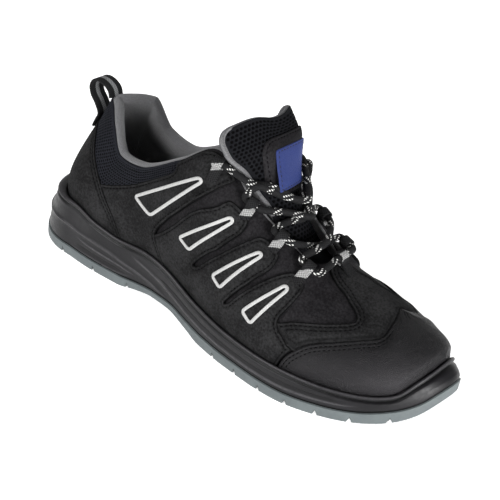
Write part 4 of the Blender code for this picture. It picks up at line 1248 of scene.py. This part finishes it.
# One flat pattern cut into triangles, with each point's distance from the free edge
def cutPattern(panel):
    edge, tags = patternEdge(panel["pattern"])
    middle = onMiddle(edge)
    following = np.roll(np.arange(len(edge)), -1)
    free = ~(middle & middle[:, following]).any(0)
    starts, ends = edge[free], edge[following[free]]
    steps = inwardSteps(edge)
    touched = free | np.roll(free, 1)
    inner = []
    for ring in panelCut["rings"]:
        places = edge[touched] + steps[touched] * ring
        good = edgeDistance(places, starts, ends) > ring * 0.93
        good &= isInside(places, edge) | onMiddle(places).any(0)
        inner.append(places[good])
    low, high = edge.min(0), edge.max(0)
    step = panelCut["gridStep"]
    across, up = np.meshgrid(np.arange(low[0], high[0], step), np.arange(low[1], high[1], step * 0.8))
    across[::2] += step / 2
    places = np.stack([across.ravel(), up.ravel()], -1)
    places = places[isInside(places, edge)]
    places = places[edgeDistance(places, starts, ends) > panelCut["rings"][-1] + step * 0.45]
    inner = thinOut(np.concatenate(inner + [places]), 0.45)
    flat = [Vector(point) for point in np.concatenate([edge, inner])]
    loop = list(range(len(edge)))
    flat, _, triangles, *_ = delaunay_2d_cdt(flat, [], [loop], 1, 1e-5)
    places = np.array([tuple(point) for point in flat])
    return places, [tuple(t) for t in triangles], edgeDistance(places, starts, ends), (edge, tags, steps)


# Two skins and the cut edge between them; the lines on the middle of the shoe stay open to be joined
def panelSide(panel, pattern, side):
    places, triangles, distance, _ = pattern
    around, share = footPlace(places, side)
    top = skin(around, share, panelHeight(panel, distance, share))
    under = skin(around, share, np.full(len(places), panelCut["under"]))
    count = len(places)
    faces = triangles + [tuple(count + v for v in t[::-1]) for t in triangles]
    uses = {}
    for t in triangles:
        for a, b in ((t[0], t[1]), (t[1], t[2]), (t[2], t[0])):
            uses.setdefault((min(a, b), max(a, b)), []).append((a, b))
    middle = onMiddle(places)
    for pair in uses.values():
        a, b = pair[0]
        if len(pair) == 1 and not (middle[:, a] & middle[:, b]).any():
            faces.append((b, a, count + a, count + b))
    return np.concatenate([top, under]), faces, np.append(distance, np.zeros(count)), np.tile(places, (2, 1))


# Stitches: short threads pulled into the skin, end after end along a seam
stitch = {"pitch": 2.7, "length": 1.9, "width": 0.66, "high": 0.26, "sink": 0.35}


def stitchShape():
    along = np.array([-0.5, -0.42, -0.2, 0.2, 0.42, 0.5])
    full = np.array([0.35, 0.8, 1.0, 1.0, 0.8, 0.35])
    angle = np.linspace(0, 2 * np.pi, 7)[:-1]
    points = []
    for a, f in zip(along, full):
        for t in angle:
            down = stitch["sink"] * (abs(a) * 2) ** 3
            points.append((a * stitch["length"], math.cos(t) * f * stitch["width"] / 2,
                           math.sin(t) * f * stitch["high"] - down))
    turn = [(i, (i + 1) % 6) for i in range(6)]
    faces = []
    for start in range(0, 30, 6):
        faces += [(start + i, start + j, start + 6 + j, start + 6 + i) for i, j in turn]
    faces += [tuple(range(5, -1, -1)), tuple(range(30, 36))]
    return np.array(points), faces


stitchPoints, stitchFaces = stitchShape()
stitchRuns = []         # lines of places and normals, one for each seam


def sewRun(points, normals):
    along = lengthAlong(points)
    count = int(along[-1] // stitch["pitch"])
    if count < 1:
        return np.zeros((0, 3))
    middle = (np.arange(count) + 0.5) * along[-1] / count
    place, normal = pointsAt(points, along, middle), unit(pointsAt(normals, along, middle))
    forward = unit(pointsAt(points, along, middle + 0.6) - pointsAt(points, along, middle - 0.6))
    across = unit(np.cross(normal, forward))
    shape = stitchPoints
    made = place[:, None] + forward[:, None] * shape[None, :, :1] + across[:, None] * shape[None, :, 1:2]
    return (made + normal[:, None] * shape[None, :, 2:]).reshape(-1, 3)


def buildStitches(name, runs, material, slot):
    points = np.concatenate([sewRun(*run) for run in runs])
    count = len(points) // len(stitchPoints)
    faces = [tuple(v + k * len(stitchPoints) for v in face) for k in range(count) for face in stitchFaces]
    return dress(meshPiece(name, points, faces, points[:, :2], 60), material, slot)


def panelSeams(panel, pattern, side):
    edge, tags, steps = pattern[3]
    for first, final in panel["seams"]:
        chosen = (tags >= first) & (tags <= final)
        for row in panel["stitches"]:
            places = edge[chosen] + steps[chosen] * row
            places = places[edgeDistance(places, edge, np.roll(edge, -1, axis=0)) > row * 0.9]
            if len(places) < 3:
                continue
            around, share = footPlace(places, side)
            height = panelHeight(panel, np.full(len(places), row), share) + 0.08
            stitchRuns.append((skin(around, share, height), skinNormal(around, share)))


def joinSides(lateral, medial):
    count = len(lateral[0])
    faces = lateral[1] + [tuple(v + count for v in face[::-1]) for face in medial[1]]
    points, distance, sheet = (np.concatenate([lateral[k], medial[k]]) for k in (0, 2, 3))
    return points, faces, distance, sheet


def buildPanels():
    for name, panel in panels.items():
        pattern = cutPattern(panel)
        made = [panelSide(panel, pattern, side) for side in sides]
        for side in sides:
            panelSeams(panel, pattern, side)
        if panel["split"]:
            names = [name + side.title() for side in sides]
            pieces = [(each, (node,), part) for each, node, part in zip(names, panel["nodes"], made)]
        else:
            pieces = [(name, panel["nodes"], joinSides(*made))]
        material = capLeather if panel["slot"] == "cap" else nubuck
        for pieceName, nodes, (points, faces, distance, sheet) in pieces:
            seam = seamShade(panel, distance)
            piece = meshPiece(pieceName, points, faces, sheet, 50, edgeDistance=distance, seam=seam)
            dress(piece, material, panel["slot"], *nodes)
        print("panel:", name, len(pattern[0]), "points a side")


buildPanels()

# Reflective outlines printed on the quarters: four rounded wedges a side, corners by station and share
trim = {
    "wedges": (
        ((83.7, 0.571), (100.5, 0.349), (131.5, 0.683), (128.8, 0.701)),
        ((125.9, 0.254), (135.3, 0.239), (155.9, 0.701), (153.4, 0.706)),
        ((156.3, 0.27), (164.3, 0.247), (181.4, 0.69), (178.9, 0.698)),
        ((184.5, 0.233), (192.1, 0.198), (203.3, 0.622), (200.6, 0.642)),
    ),
    "on": ("rearQuarter", "eyestayPanel", "eyestayPanel", "eyestayPanel"),
    "width": 1.95,
    "high": 0.5,
    "rounding": 2.5,
    "step": 1.5,
    "profile": ((-0.5, -0.6), (-0.5, 0.55), (-0.38, 1.0), (0.0, 1.08), (0.38, 1.0), (0.5, 0.55), (0.5, -0.6)),
}


# Straight runs with rounded corners, drawn through space and then put back on the skin
def wedgeLine(corners, side, height):
    around = aroundOf(np.array([station for station, _ in corners]), side)
    share = np.array([share for _, share in corners])
    points = np.c_[skin(around, share, np.full(len(corners), height)), around, share]
    line = []
    for i in range(len(points)):
        line += roundedCorner(points, i, trim["rounding"], 9, 3)
    dense = []
    for i, point in enumerate(line):
        following = line[(i + 1) % len(line)]
        steps = max(1, math.ceil(np.linalg.norm((following - point)[:3]) / trim["step"]))
        dense += [point + (following - point) * k / steps for k in range(steps)]
    dense = np.array(dense)
    dense = dense[np.linalg.norm((dense - np.roll(dense, 1, axis=0))[:, :3], axis=1) > 1e-3]
    around, share, lift = dense[:, 3], dense[:, 4], np.full(len(dense), height)
    for _ in range(6):
        here = skin(around, share, lift)
        turned = (skin(around + 0.001, share, lift) - here) / 0.001
        raised = (skin(around, share + 0.002, lift) - here) / 0.002
        slopes = np.stack([turned, raised], 1)
        gap = slopes @ (dense[:, :3] - here)[..., None]
        step = np.linalg.solve(slopes @ slopes.transpose(0, 2, 1), gap)[..., 0]
        around, share = around + step[:, 0], share + step[:, 1]
    return around, share


def buildTrim():
    rounds = len(trim["profile"])
    for side in sides:
        points, faces, sheet = [], [], []
        for corners, host in zip(trim["wedges"], trim["on"]):
            height = panels[host]["top"] + panels[host]["puff"] * 0.75
            around, share = wedgeLine(corners, side, height)
            start, count = sum(len(part) for part in points), len(around)
            normal = skinNormal(around, share)
            base = skin(around, share, np.full(count, height))
            across = np.cross(normal, unit(np.roll(base, -1, axis=0) - np.roll(base, 1, axis=0)))
            rows = [base + across * a * trim["width"] + normal * h * trim["high"] for a, h in trim["profile"]]
            points.append(np.concatenate(rows))
            sheet.append(np.tile(patternPlace(around, share), (rounds, 1)))
            for r in range(rounds):
                row, following = start + r * count, start + (r + 1) % rounds * count
                for i in range(count):
                    j = (i + 1) % count
                    faces.append((row + i, row + j, following + j, following + i))
        points, sheet = np.concatenate(points), np.concatenate(sheet)
        dress(meshPiece("reflectiveTrim" + side.title(), points, faces, sheet, 60), reflective, "webbing")


buildTrim()
print("trim: reflective outlines")

# Tongue: share along it, x, height, half width, how far its sides sweep back, thickness
tongueRows = np.array((
    (0, 226, 52, 16, 2, 3), (0.17, 207, 57.6, 17.5, 3.5, 4), (0.28, 195.5, 65.2, 17.5, 6, 5),
    (0.40, 185.5, 76.6, 16, 7, 6.5), (0.52, 177.5, 90, 15, 6, 7.5), (0.64, 171, 101, 18.5, 8.5, 8.5),
    (0.76, 165, 112, 22.8, 9.5, 9), (0.88, 157.5, 124, 33, 9.5, 9), (1, 147, 135.5, 34.5, 9, 6),
), float)
tongue = {
    "columns": 110, "backColumns": 24, "rows": 230,
    "edgeThin": 0.4,                # the side's thickness as a share of the middle's
    "pitch": 2.7, "hole": 0.95, "depth": 0.55,
    "meshFrom": (0.3, 0.33), "meshTo": (0.982, 0.993), "meshInset": (1.5, 2.5),
    "corners": (7.0, 17.0),         # rounding of the top corners, outer and inner
    "tall": 125.0,
    "curl": 105.0,                  # degrees that the inner wing turns back, then where, across and along
    "curlFrom": (0.25, 0.9), "curlUp": (0.66, 0.86),
    "curlWide": 1.4,
    "dip": 0.036, "dipAt": 0.18, "dipHalf": 0.32, "dipFrom": 0.86,
    "bindingFrom": 0.50, "bindingWide": 3.4, "bindingThick": 2.2,
    "bindingFaces": (0.86, 0, 0.5),
}


def offTongue(share, side, back):
    low, high = np.clip(share - 0.01, 0, 1), np.clip(share + 0.01, 0, 1)
    up = unit(np.stack([rowsAt(tongueRows, high, k) - rowsAt(tongueRows, low, k) for k in (1, 2)], -1))
    x = rowsAt(tongueRows, share, 1) - last["soleLength"] / 2
    return np.stack([x + up[..., 1] * back, side, rowsAt(tongueRows, share, 2) - up[..., 0] * back], -1)


# The tongue lying flat, as the lace sees it
def tonguePoint(share, across, offset):
    share, across = np.asarray(share, float), np.asarray(across, float)
    back = offset - rowsAt(tongueRows, share, 4) * across ** 2
    return offTongue(share, rowsAt(tongueRows, share, 3) * across, back)


# As worn: the inner wing curls back towards the foot and the top edge dips beside the label
def tongueFace(share, across, offset):
    share, across, offset = np.broadcast_arrays(*(np.asarray(v, float) for v in (share, across, offset)))
    dip = tongue["dip"] * np.exp(-((across - tongue["dipAt"]) / tongue["dipHalf"]) ** 2)
    share = share - dip * ease(share, tongue["dipFrom"], 1)
    half = rowsAt(tongueRows, share, 3)
    steps = np.linspace(0, 1, 101)
    bend = math.radians(tongue["curl"]) * ease(steps, *tongue["curlFrom"])
    run, fall = (np.append(0, np.cumsum(f(bend[1:]) + f(bend[:-1])) / 200) for f in (np.cos, np.sin))
    inner = np.clip(across, 0, 1)
    angle = np.interp(inner, steps, bend)
    curled = np.where(across > 0, ease(share, *tongue["curlUp"]), 0)
    wide = half * tongue["curlWide"]
    flatSide, flatBack = half * across, offset - rowsAt(tongueRows, share, 4) * across ** 2
    side = flatSide + curled * (wide * np.interp(inner, steps, run) + offset * np.sin(angle) - flatSide)
    back = flatBack + curled * (offset * np.cos(angle) - wide * np.interp(inner, steps, fall) - flatBack)
    return offTongue(share, side, back)


# How far the edge comes in at the rounded top corners, as a share of the half width
def tongueSide(share, across):
    down = (1 - np.asarray(share, float)) * tongue["tall"]
    corner = np.where(np.asarray(across) < 0, *tongue["corners"])
    inset = corner - np.sqrt(np.maximum(corner ** 2 - np.maximum(corner - down, 0) ** 2, 0))
    return 1 - inset / rowsAt(tongueRows, share, 3)


def buildTongue():
    dense = tongue["dipFrom"]
    share = [[0], np.linspace(0, dense, tongue["rows"] - 60), np.linspace(dense, 1, 62)[1:], [1]]
    share = np.concatenate(share)
    path = np.append(np.linspace(-1, 1, tongue["columns"] + 1), np.linspace(1, -1, tongue["backColumns"] + 1))
    isFront = np.arange(len(path)) <= tongue["columns"]
    grid, side = np.meshgrid(share, path, indexing="ij")
    side = side * tongueSide(grid, side)
    half = rowsAt(tongueRows, grid, 3)
    thick = rowsAt(tongueRows, grid, 5) * (1 - (1 - tongue["edgeThin"]) * side ** 2)
    up = lengthAlong(tonguePoint(share, np.zeros(len(share)), np.zeros(len(share))))
    along = np.broadcast_to(up[:, None], grid.shape)
    inset = ease((1 - np.abs(side)) * half, *tongue["meshInset"])
    pit = np.where(isFront, hexPits(half * side, along, tongue["pitch"], tongue["hole"]) * inset, 0)
    pit = pit * (1 - ease(grid, *tongue["meshTo"])) * ease(grid, *tongue["meshFrom"])
    rounded = np.sqrt(1 - np.clip((np.abs(side) - 0.93) / 0.07, 0, 1) ** 2 * 0.75)
    thin = (1 - rounded) * 0.5
    offset = np.where(isFront, -thick * thin - tongue["depth"] * pit, -thick * (1 - thin))
    offset[[0, -1]] = -thick[[0, -1]] / 2
    rows = tongueFace(grid, side, offset)
    rows, pits = (np.concatenate([made, made[:, :1]], 1) for made in (rows, pit))
    lined = np.broadcast_to(np.append(~isFront, False), pits.shape)
    girth = lengthAlong(rows[len(rows) * 3 // 4])
    piece = gridPiece("tonguePad", rows, girth, up[:, None], 60, pit=pits, lined=lined)
    dress(piece, tongueCloth, "fabric", "tongue")


# Binding tape folded over the edge: up one side of the tongue, over the top and down the other
def buildBinding():
    share = np.linspace(tongue["bindingFrom"], 1, 90)
    middle = -rowsAt(tongueRows, share, 5) * tongue["edgeThin"] / 2
    left, right = (tongueFace(share, sign * tongueSide(share, sign), middle) for sign in (-1, 1))
    over = np.linspace(-float(tongueSide(1.0, -1)), float(tongueSide(1.0, 1)), 60)[1:-1]
    thick = float(rowsAt(tongueRows, 1.0, 5)) * (1 - (1 - tongue["edgeThin"]) * over ** 2)
    top = tongueFace(np.ones(len(over)), over, -thick / 2)
    route = np.concatenate([left, top, right[::-1]])
    along = lengthAlong(route)
    route = smoothRoute(pointsAt(route, along, np.linspace(0, along[-1], int(along[-1] / 3.5))), 1.2)
    forward = unit(np.gradient(route, axis=0))
    out = unit(np.cross(forward, np.array(tongue["bindingFaces"])))
    off = unit(np.cross(out, forward))
    profile = ribbonProfile(tongue["bindingThick"], tongue["bindingWide"])
    dress(sweepPiece("tongueBinding", route, out, off, profile, 60), binding, "fabric")


buildTongue()
buildBinding()

# Facing and label on the tongue: the label's face is left plain
patches = {
    "tongueFacing": {
        "along": (0.59, 0.89), "across": (-15.5, 26.0),
        "low": 0.1, "high": 1.25, "corner": 9.0, "stitch": 2.0,
        "stiff": 0.0, "lean": 0.0,
    },
    "tongueLabel": {
        "along": (0.615, 0.83), "across": (-8.3, 18.5),
        "low": 1.0, "high": 2.2, "corner": 1.5, "stitch": 1.5,
        "stiff": 0.65, "lean": 0.24,        # how flat it stays over the curve of the tongue, and its slant
    },
}
patchGrid = (48, 64)
labelRuns = []


def patchSize(patch):
    return patch["across"][1] - patch["across"][0], tongue["tall"] * (patch["along"][1] - patch["along"][0])


# Lays places on a patch, sideways and up from its middle, over the tongue
def layPatch(patch, a, b, offset):
    share = sum(patch["along"]) / 2 + b / tongue["tall"]
    half, middle = rowsAt(tongueRows, share, 3), sum(patch["across"]) / 2
    a = a + patch["lean"] * (b - patchSize(patch)[1] / 2)
    laid = tongueFace(share, np.clip((middle + a) / half, -0.93, 0.93), offset)
    centre = tongueFace(share, middle / half, offset)
    straight = unit(tongueFace(share, (middle + 0.5) / half, offset) - centre)
    return laid + patch["stiff"] * (centre + straight * np.asarray(a)[..., None] - laid)


# Pulls the corners of a rectangle in to a round
def roundedPlaces(a, b, width, height, corner):
    pastA, pastB = np.abs(a) - width / 2 + corner, np.abs(b) - height / 2 + corner
    inside = (pastA > 0) & (pastB > 0)
    reach = np.maximum(np.maximum(pastA, pastB), 1e-6)
    pull = np.where(inside, reach / np.maximum(np.hypot(pastA, pastB), 1e-6), 1)
    return (np.where(inside, np.sign(a) * (width / 2 - corner + pastA * pull), a),
            np.where(inside, np.sign(b) * (height / 2 - corner + pastB * pull), b))


# One row of stitches round a patch
def patchSeam(patch):
    width, height = patchSize(patch)
    inset, corner = patch["stitch"], max(patch["corner"] - patch["stitch"], 0.3)
    w, h = width / 2 - inset - corner, height / 2 - inset - corner
    line = []
    for k, (x, y) in enumerate(((w, h), (-w, h), (-w, -h), (w, -h))):
        for angle in np.linspace(0, math.pi / 2, 5) + k * math.pi / 2:
            line.append((x + corner * math.cos(angle), y + corner * math.sin(angle)))
    line = np.array(line + line[:1])
    along = lengthAlong(line)
    a, b = pointsAt(line, along, np.linspace(0, along[-1], int(along[-1]))).T
    base = layPatch(patch, a, b, np.full(len(a), patch["high"] - 0.12))
    return base, unit(layPatch(patch, a, b, np.full(len(a), patch["high"] + 1)) - base)


# A rounded patch on the tongue: the edge falls away and the middle is slightly full
def buildPatch(name, material, slot, node, runs):
    patch = patches[name]
    width, height = patchSize(patch)
    u, v = np.meshgrid(*(np.linspace(-1, 1, count + 1) for count in patchGrid))
    distance = np.minimum((1 - np.abs(u)) * width / 2, (1 - np.abs(v)) * height / 2)
    a, b = roundedPlaces(u * width / 2, v * height / 2, width, height, patch["corner"])
    turn = np.clip(distance / 0.8, 0, 1)
    rise = patch["low"] + (patch["high"] - patch["low"]) * (0.45 + 0.55 * np.sqrt(1 - (1 - turn) ** 2))
    rise = rise - 0.25 * np.exp(-((distance - patch["stitch"]) / 0.5) ** 2) + 0.25 * ease(distance, 2, 7)
    offsets = (rise, np.full(a.shape, patch["low"]))
    layers = [layPatch(patch, a, b, offset).reshape(-1, 3) for offset in offsets]
    index = np.arange(a.size).reshape(a.shape)
    faces = []
    for layer in (0, a.size):
        near, far = index[:-1] + layer, index[1:] + layer
        faces += zip(near[:, :-1].flat, near[:, 1:].flat, far[:, 1:].flat, far[:, :-1].flat)
    border = [*index[0, :-1], *index[:-1, -1], *index[-1, :0:-1], *index[:0:-1, 0]]
    faces += [(i, j, j + a.size, i + a.size) for i, j in zip(border, border[1:] + border[:1])]
    faces = [tuple(int(k) for k in face) for face in faces]
    sheet = np.tile(np.stack([a.ravel(), b.ravel()], -1), (2, 1))
    edge = np.tile(distance.ravel(), 2)
    dress(meshPiece(name, np.concatenate(layers), faces, sheet, 50, edgeDistance=edge), material, slot, node)
    runs.append(patchSeam(patch))


buildPatch("tongueFacing", innerNubuck, "leather", "tongue_facing", stitchRuns)
buildPatch("tongueLabel", labelCloth, "label", "tongue_label", labelRuns)
buildStitches("seamStitches", stitchRuns, thread, "fabric")
buildStitches("labelStitches", labelRuns, labelEdge, "label")
print("tongue: pad, binding, facing and label;", len(stitchRuns), "seams")

# Lace loops: station, share and lift of each strap's root, from the toe upwards
loops = {
    "rows": ((205, 0.80, 1.0), (184.5, 0.86, 0.9), (160, 0.875, 0.8), (136, 0.83, 2.15)),
    "front": (226, 1.0, 2.35),
    "strap": 5.0, "bore": 2.7, "band": 1.0, "width": 6.2,
    "root": ((-7.0, -0.9), (-3.0, -0.5), (0.0, 0.2)),       # along the panel and off it
    "tail": ((-3.4, 0.2), (-6.4, -0.4)),
    "stripes": (0.0, -0.1, -0.8, 2.5), "frontStripe": 4.0,      # the pale stripe, up each strap
    "stripeHalf": 2.1, "stripeEdge": 0.2, "slant": 0.6,
}


# A pale stripe woven into a strap, by how far each point is from its middle
def setStripe(piece, away, half):
    soft = loops["stripeEdge"]
    setAttribute(piece, "stripe", 1 - ease(np.abs(away), half - soft, half + soft))


def pointsOf(piece):
    return np.array([point.co for point in piece.data.vertices]) / mm - sideShift


def loopFrame(station, share, lift, side):
    around, at = np.array([float(aroundOf(station, side))]), np.array([float(share)])
    start = lastSurface(around, at)[0]
    off = skinNormal(around, at)[0]
    inward = lastSurface(around, at + 0.1)[0] - start if share < 1 else np.array([-1.0, 0.0, 0.0])
    inward = unit(inward - off * (inward @ off))
    return start + off * lift, inward, off, np.cross(off, inward)


# The strap leaves the panel, turns round the lace and comes back onto itself
def buildLoop(name, node, row, side, stripe):
    start, inward, off, across = loopFrame(*row, side)
    strap, bore, band = loops["strap"], loops["bore"], loops["band"]
    path = [*loops["root"], (strap * 0.5, band / 2)]
    for angle in np.linspace(-0.5, 0.78, 14) * math.pi:
        reach = bore + band / 2
        path.append((strap + reach * math.cos(angle), bore + band + reach * math.sin(angle)))
    path += [(strap * 0.28, band * 2.0), (-0.6, band * 1.15), *loops["tail"]]
    route = smoothRoute(np.array(path), 0.8)
    forward = unit(np.gradient(route, axis=0))
    turned = np.stack([-forward[:, 1], forward[:, 0]], -1)
    place = start + route[:, :1] * inward + route[:, 1:] * off
    out = turned[:, :1] * inward + turned[:, 1:] * off
    profile = ribbonProfile(loops["width"], band)
    piece = sweepPiece(name, place, np.tile(across, (len(place), 1)), out, profile, 60)
    here = pointsOf(piece) - start
    slanted = loops["slant"] * (here @ across) * across[0]
    setStripe(piece, here @ inward - stripe - slanted, loops["stripeHalf"])
    dress(piece, webbing, "webbing", node)


def buildLoops():
    for side in sides:
        for number, (row, stripe) in enumerate(zip(loops["rows"], loops["stripes"]), 1):
            name, node = "laceLoop" + side.title() + str(number), "lace_loop_" + side + "_" + str(number)
            buildLoop(name, node, row, side, stripe)
    buildLoop("laceLoopFront", "lace_loop_front", loops["front"], "lateral", loops["frontStripe"])


buildLoops()

# Lace: one cord through the front loop and crosswise up through the side loops
lace = {
    "radius": 2.1, "step": 1.0, "sides": 24,
    "turn": (5.7, 0.2),         # how far it runs straight on both sides of a loop, and towards the throat
    # share along the tongue, across it, and height over it, for each crossing
    "crossings": (
        ((0.30, 0, 6.5),),
        ((0.46, -0.75, 3.6), (0.45, 0, 2.9), (0.505, 0.75, 3.6)),
        ((0.685, -1.2, 9.6), (0.61, -0.79, 5.5), (0.53, 0, 3.6), (0.66, 0.83, 5.3), (0.71, 1.18, 5.0)),
    ),
    "onTop": ("lateral", "medial", "lateral"),
    "end": 0.65,                # how much of the straight run is left past the top loops
    "clear": 0.7,               # between two runs that cross
    "frontRun": 5.6,            # how far it runs straight on both sides of the front loop
    "braid": 0.10, "yarns": 8, "pitch": 2.6,
}


def loopBore(row, side):
    start, inward, off, across = loopFrame(*row, side)
    return start + inward * loops["strap"] + off * (loops["band"] + loops["bore"]), inward, across


def laceHalf(first):
    order = sides if first == "lateral" else sides[::-1]
    route = []
    for number, row in enumerate(loops["rows"]):
        side = order[number % 2]
        middle, inward, across = loopBore(row, side)
        along, turn = lace["turn"]
        across = -across if across[0] > 0 else across
        middle = middle - inward * turn / 2
        route += [middle - across * along + inward * turn, middle, middle + across * along + inward * turn]
        if number < len(lace["crossings"]):
            mirror = 1 if side == "lateral" else -1
            for share, sideways, height in lace["crossings"][number]:
                if sideways == 0 and lace["onTop"][number] == side:
                    height += 2 * lace["radius"] + lace["clear"]
                route.append(tonguePoint(share, mirror * sideways, height))
    route[-1] = route[-2] + lace["end"] * (route[-1] - route[-2])
    return route


def buildLace():
    middle, _, across = loopBore(loops["front"], "lateral")
    across = (-across if across[1] < 0 else across) * lace["frontRun"]
    front = [middle - across, middle, middle + across]
    route = np.array(laceHalf("lateral")[::-1] + front + laceHalf("medial"))
    route = smoothRoute(smoothRoute(route, 8.0), lace["step"])
    forward = unit(np.gradient(route, axis=0))
    across = [unit(np.cross(forward[0], [0.3, 0.2, 1.0]))]
    for direction in forward[1:]:       # carried along without twist
        across.append(unit(across[-1] - direction * (across[-1] @ direction)))
    across = np.array(across)
    off = np.cross(forward, across)
    angle = np.linspace(0, 2 * np.pi, lace["sides"] + 1)
    along = lengthAlong(route)[:, None]
    size = np.full((len(route), 1), lace["radius"])
    size[[0, -1]] = 0.0
    size[[1, -2]] = lace["radius"] * 0.8
    route[[0, -1]] = route[[1, -2]]
    turn, run = angle * lace["yarns"], along / lace["pitch"] * 2 * np.pi
    knit = lace["braid"] * (np.sin(turn + run) * np.sin(turn - run))
    radius = np.where(size > 0, size - 0.08 + knit, 0)[..., None]
    around = across[:, None] * np.cos(angle)[:, None] + off[:, None] * np.sin(angle)[:, None]
    piece = gridPiece("laceCord", route[:, None] + around * radius, angle * lace["radius"], along, 60)
    dress(piece, laceCord, "fabric", "lace")
    return along[-1, 0]


print("lace:", round(float(buildLace())), "mm of cord, and", 2 * len(loops["rows"]) + 1, "loops")

# Pull loop: webbing sewn on the counter that stands up and comes down on the collar's rim
pull = {
    "seat": (0.62, 0.70, 0.78), "lift": 2.85,
    # station and height
    "arc": ((22.5, 91), (18.2, 96), (16.8, 101), (18.6, 105.2), (22.8, 106.8), (28, 106), (32.2, 103.2),
            (33.8, 99.2)),
    "width": 12.0, "band": 1.6, "stripe": 1.9,
}


def buildPull():
    route = [skin(np.zeros(1), np.full(1, share), np.full(1, pull["lift"]))[0] for share in pull["seat"]]
    route += [np.array([station - last["soleLength"] / 2, 0.0, z]) for station, z in pull["arc"]]
    route = smoothRoute(np.array(route), 0.8)
    forward = unit(np.gradient(route, axis=0))
    off = np.stack([-forward[:, 2], np.zeros(len(route)), forward[:, 0]], -1)
    across = np.tile(np.array([0, 1.0, 0]), (len(route), 1))
    piece = sweepPiece("pullLoop", route, across, off, ribbonProfile(pull["width"], pull["band"]), 60)
    setStripe(piece, pointsOf(piece)[:, 1], pull["stripe"])
    dress(piece, pullCloth, "fabric", "pull_loop")


buildPull()
print("pull loop")

# Stage: a pale floor, soft light all round and the photograph's camera
stage = {"floor": 6.0, "floorTone": 0.93, "floorGlow": 0.66, "horizon": 0.62, "zenith": 0.12, "dimFrom": 0.75}
camera = {
    "azimuth": 33.34, "elevation": 31.42, "roll": 9.93, "distance": 800.0, "targetHeight": 40.0,
    "focal": 1326.57, "frame": 500.0, "centre": (246.82, 255.86),     # pixels of the photograph
}
lamps = (
    # name, place in metres, size, watts
    ("keyLamp", (-0.7, -1.6, 1.0), 0.9, 30.0),
    ("toeLamp", (1.75, -0.5, 0.3), 0.8, 50.0),
    ("backLamp", (-0.4, 1.6, 1.4), 1.2, 6.0),
)


def buildStage():
    deselect()
    bpy.ops.mesh.primitive_plane_add(size=stage["floor"], location=(0, 0, -0.0002))
    floor = bpy.context.object
    floor.name = "floor"
    material, _, shader = newMaterial("paleFloor", 0.9, 0.1, emissionStrength=stage["floorGlow"])
    shader.inputs["Base Color"].default_value = (*(stage["floorTone"],) * 3, 1)
    shader.inputs["Emission Color"].default_value = (1, 1, 1, 1)
    floor.data.materials.append(material)
    world = bpy.data.worlds.new("softLight")
    world.use_nodes = True
    tree = world.node_tree
    background = tree.nodes["Background"]
    background.inputs["Color"].default_value = (1, 1, 1, 1)
    height = splitUp(tree, addNode(tree, "ShaderNodeTexCoord").outputs["Generated"])["Z"]
    glow = remap(tree, height, 0.0, stage["dimFrom"], stage["horizon"], stage["zenith"])
    plug(tree, glow, background.inputs["Strength"])
    bpy.context.scene.world = world
    for name, place, size, watts in lamps:
        light = bpy.data.lights.new(name, "AREA")
        light.size, light.energy = size, watts
        lamp = bpy.data.objects.new(name, light)
        bpy.context.scene.collection.objects.link(lamp)
        lamp.location = place
        lamp.rotation_euler = (Vector((0, 0, 0.05)) - Vector(place)).to_track_quat("-Z", "Y").to_euler()


def buildCamera():
    azimuth, elevation, roll = (math.radians(camera[k]) for k in ("azimuth", "elevation", "roll"))
    level = math.cos(elevation)
    back = Vector((math.sin(azimuth) * level, -math.cos(azimuth) * level, math.sin(elevation)))
    right = Vector((math.cos(azimuth), math.sin(azimuth), 0))
    up = back.cross(right)
    turned = right * math.cos(roll) + up * math.sin(roll)
    view = bpy.data.cameras.new("photoCamera")
    view.sensor_width = 36.0
    view.lens = camera["focal"] / camera["frame"] * view.sensor_width
    half = camera["frame"] / 2
    view.shift_x = (half - camera["centre"][0]) / camera["frame"]
    view.shift_y = (camera["centre"][1] - half) / camera["frame"]
    eye = bpy.data.objects.new("photoCamera", view)
    bpy.context.scene.collection.objects.link(eye)
    target = Vector((0, sideShift[1], camera["targetHeight"])) * mm
    eye.matrix_world = Matrix((turned, back.cross(turned), back)).transposed().to_4x4()
    eye.location = target + back * camera["distance"] * mm
    bpy.context.scene.camera = eye


buildStage()
buildCamera()
bpy.context.scene.view_settings.view_transform = "Standard"
print("stage: floor,", len(lamps), "lamps and camera")

bpy.context.view_layer.update()
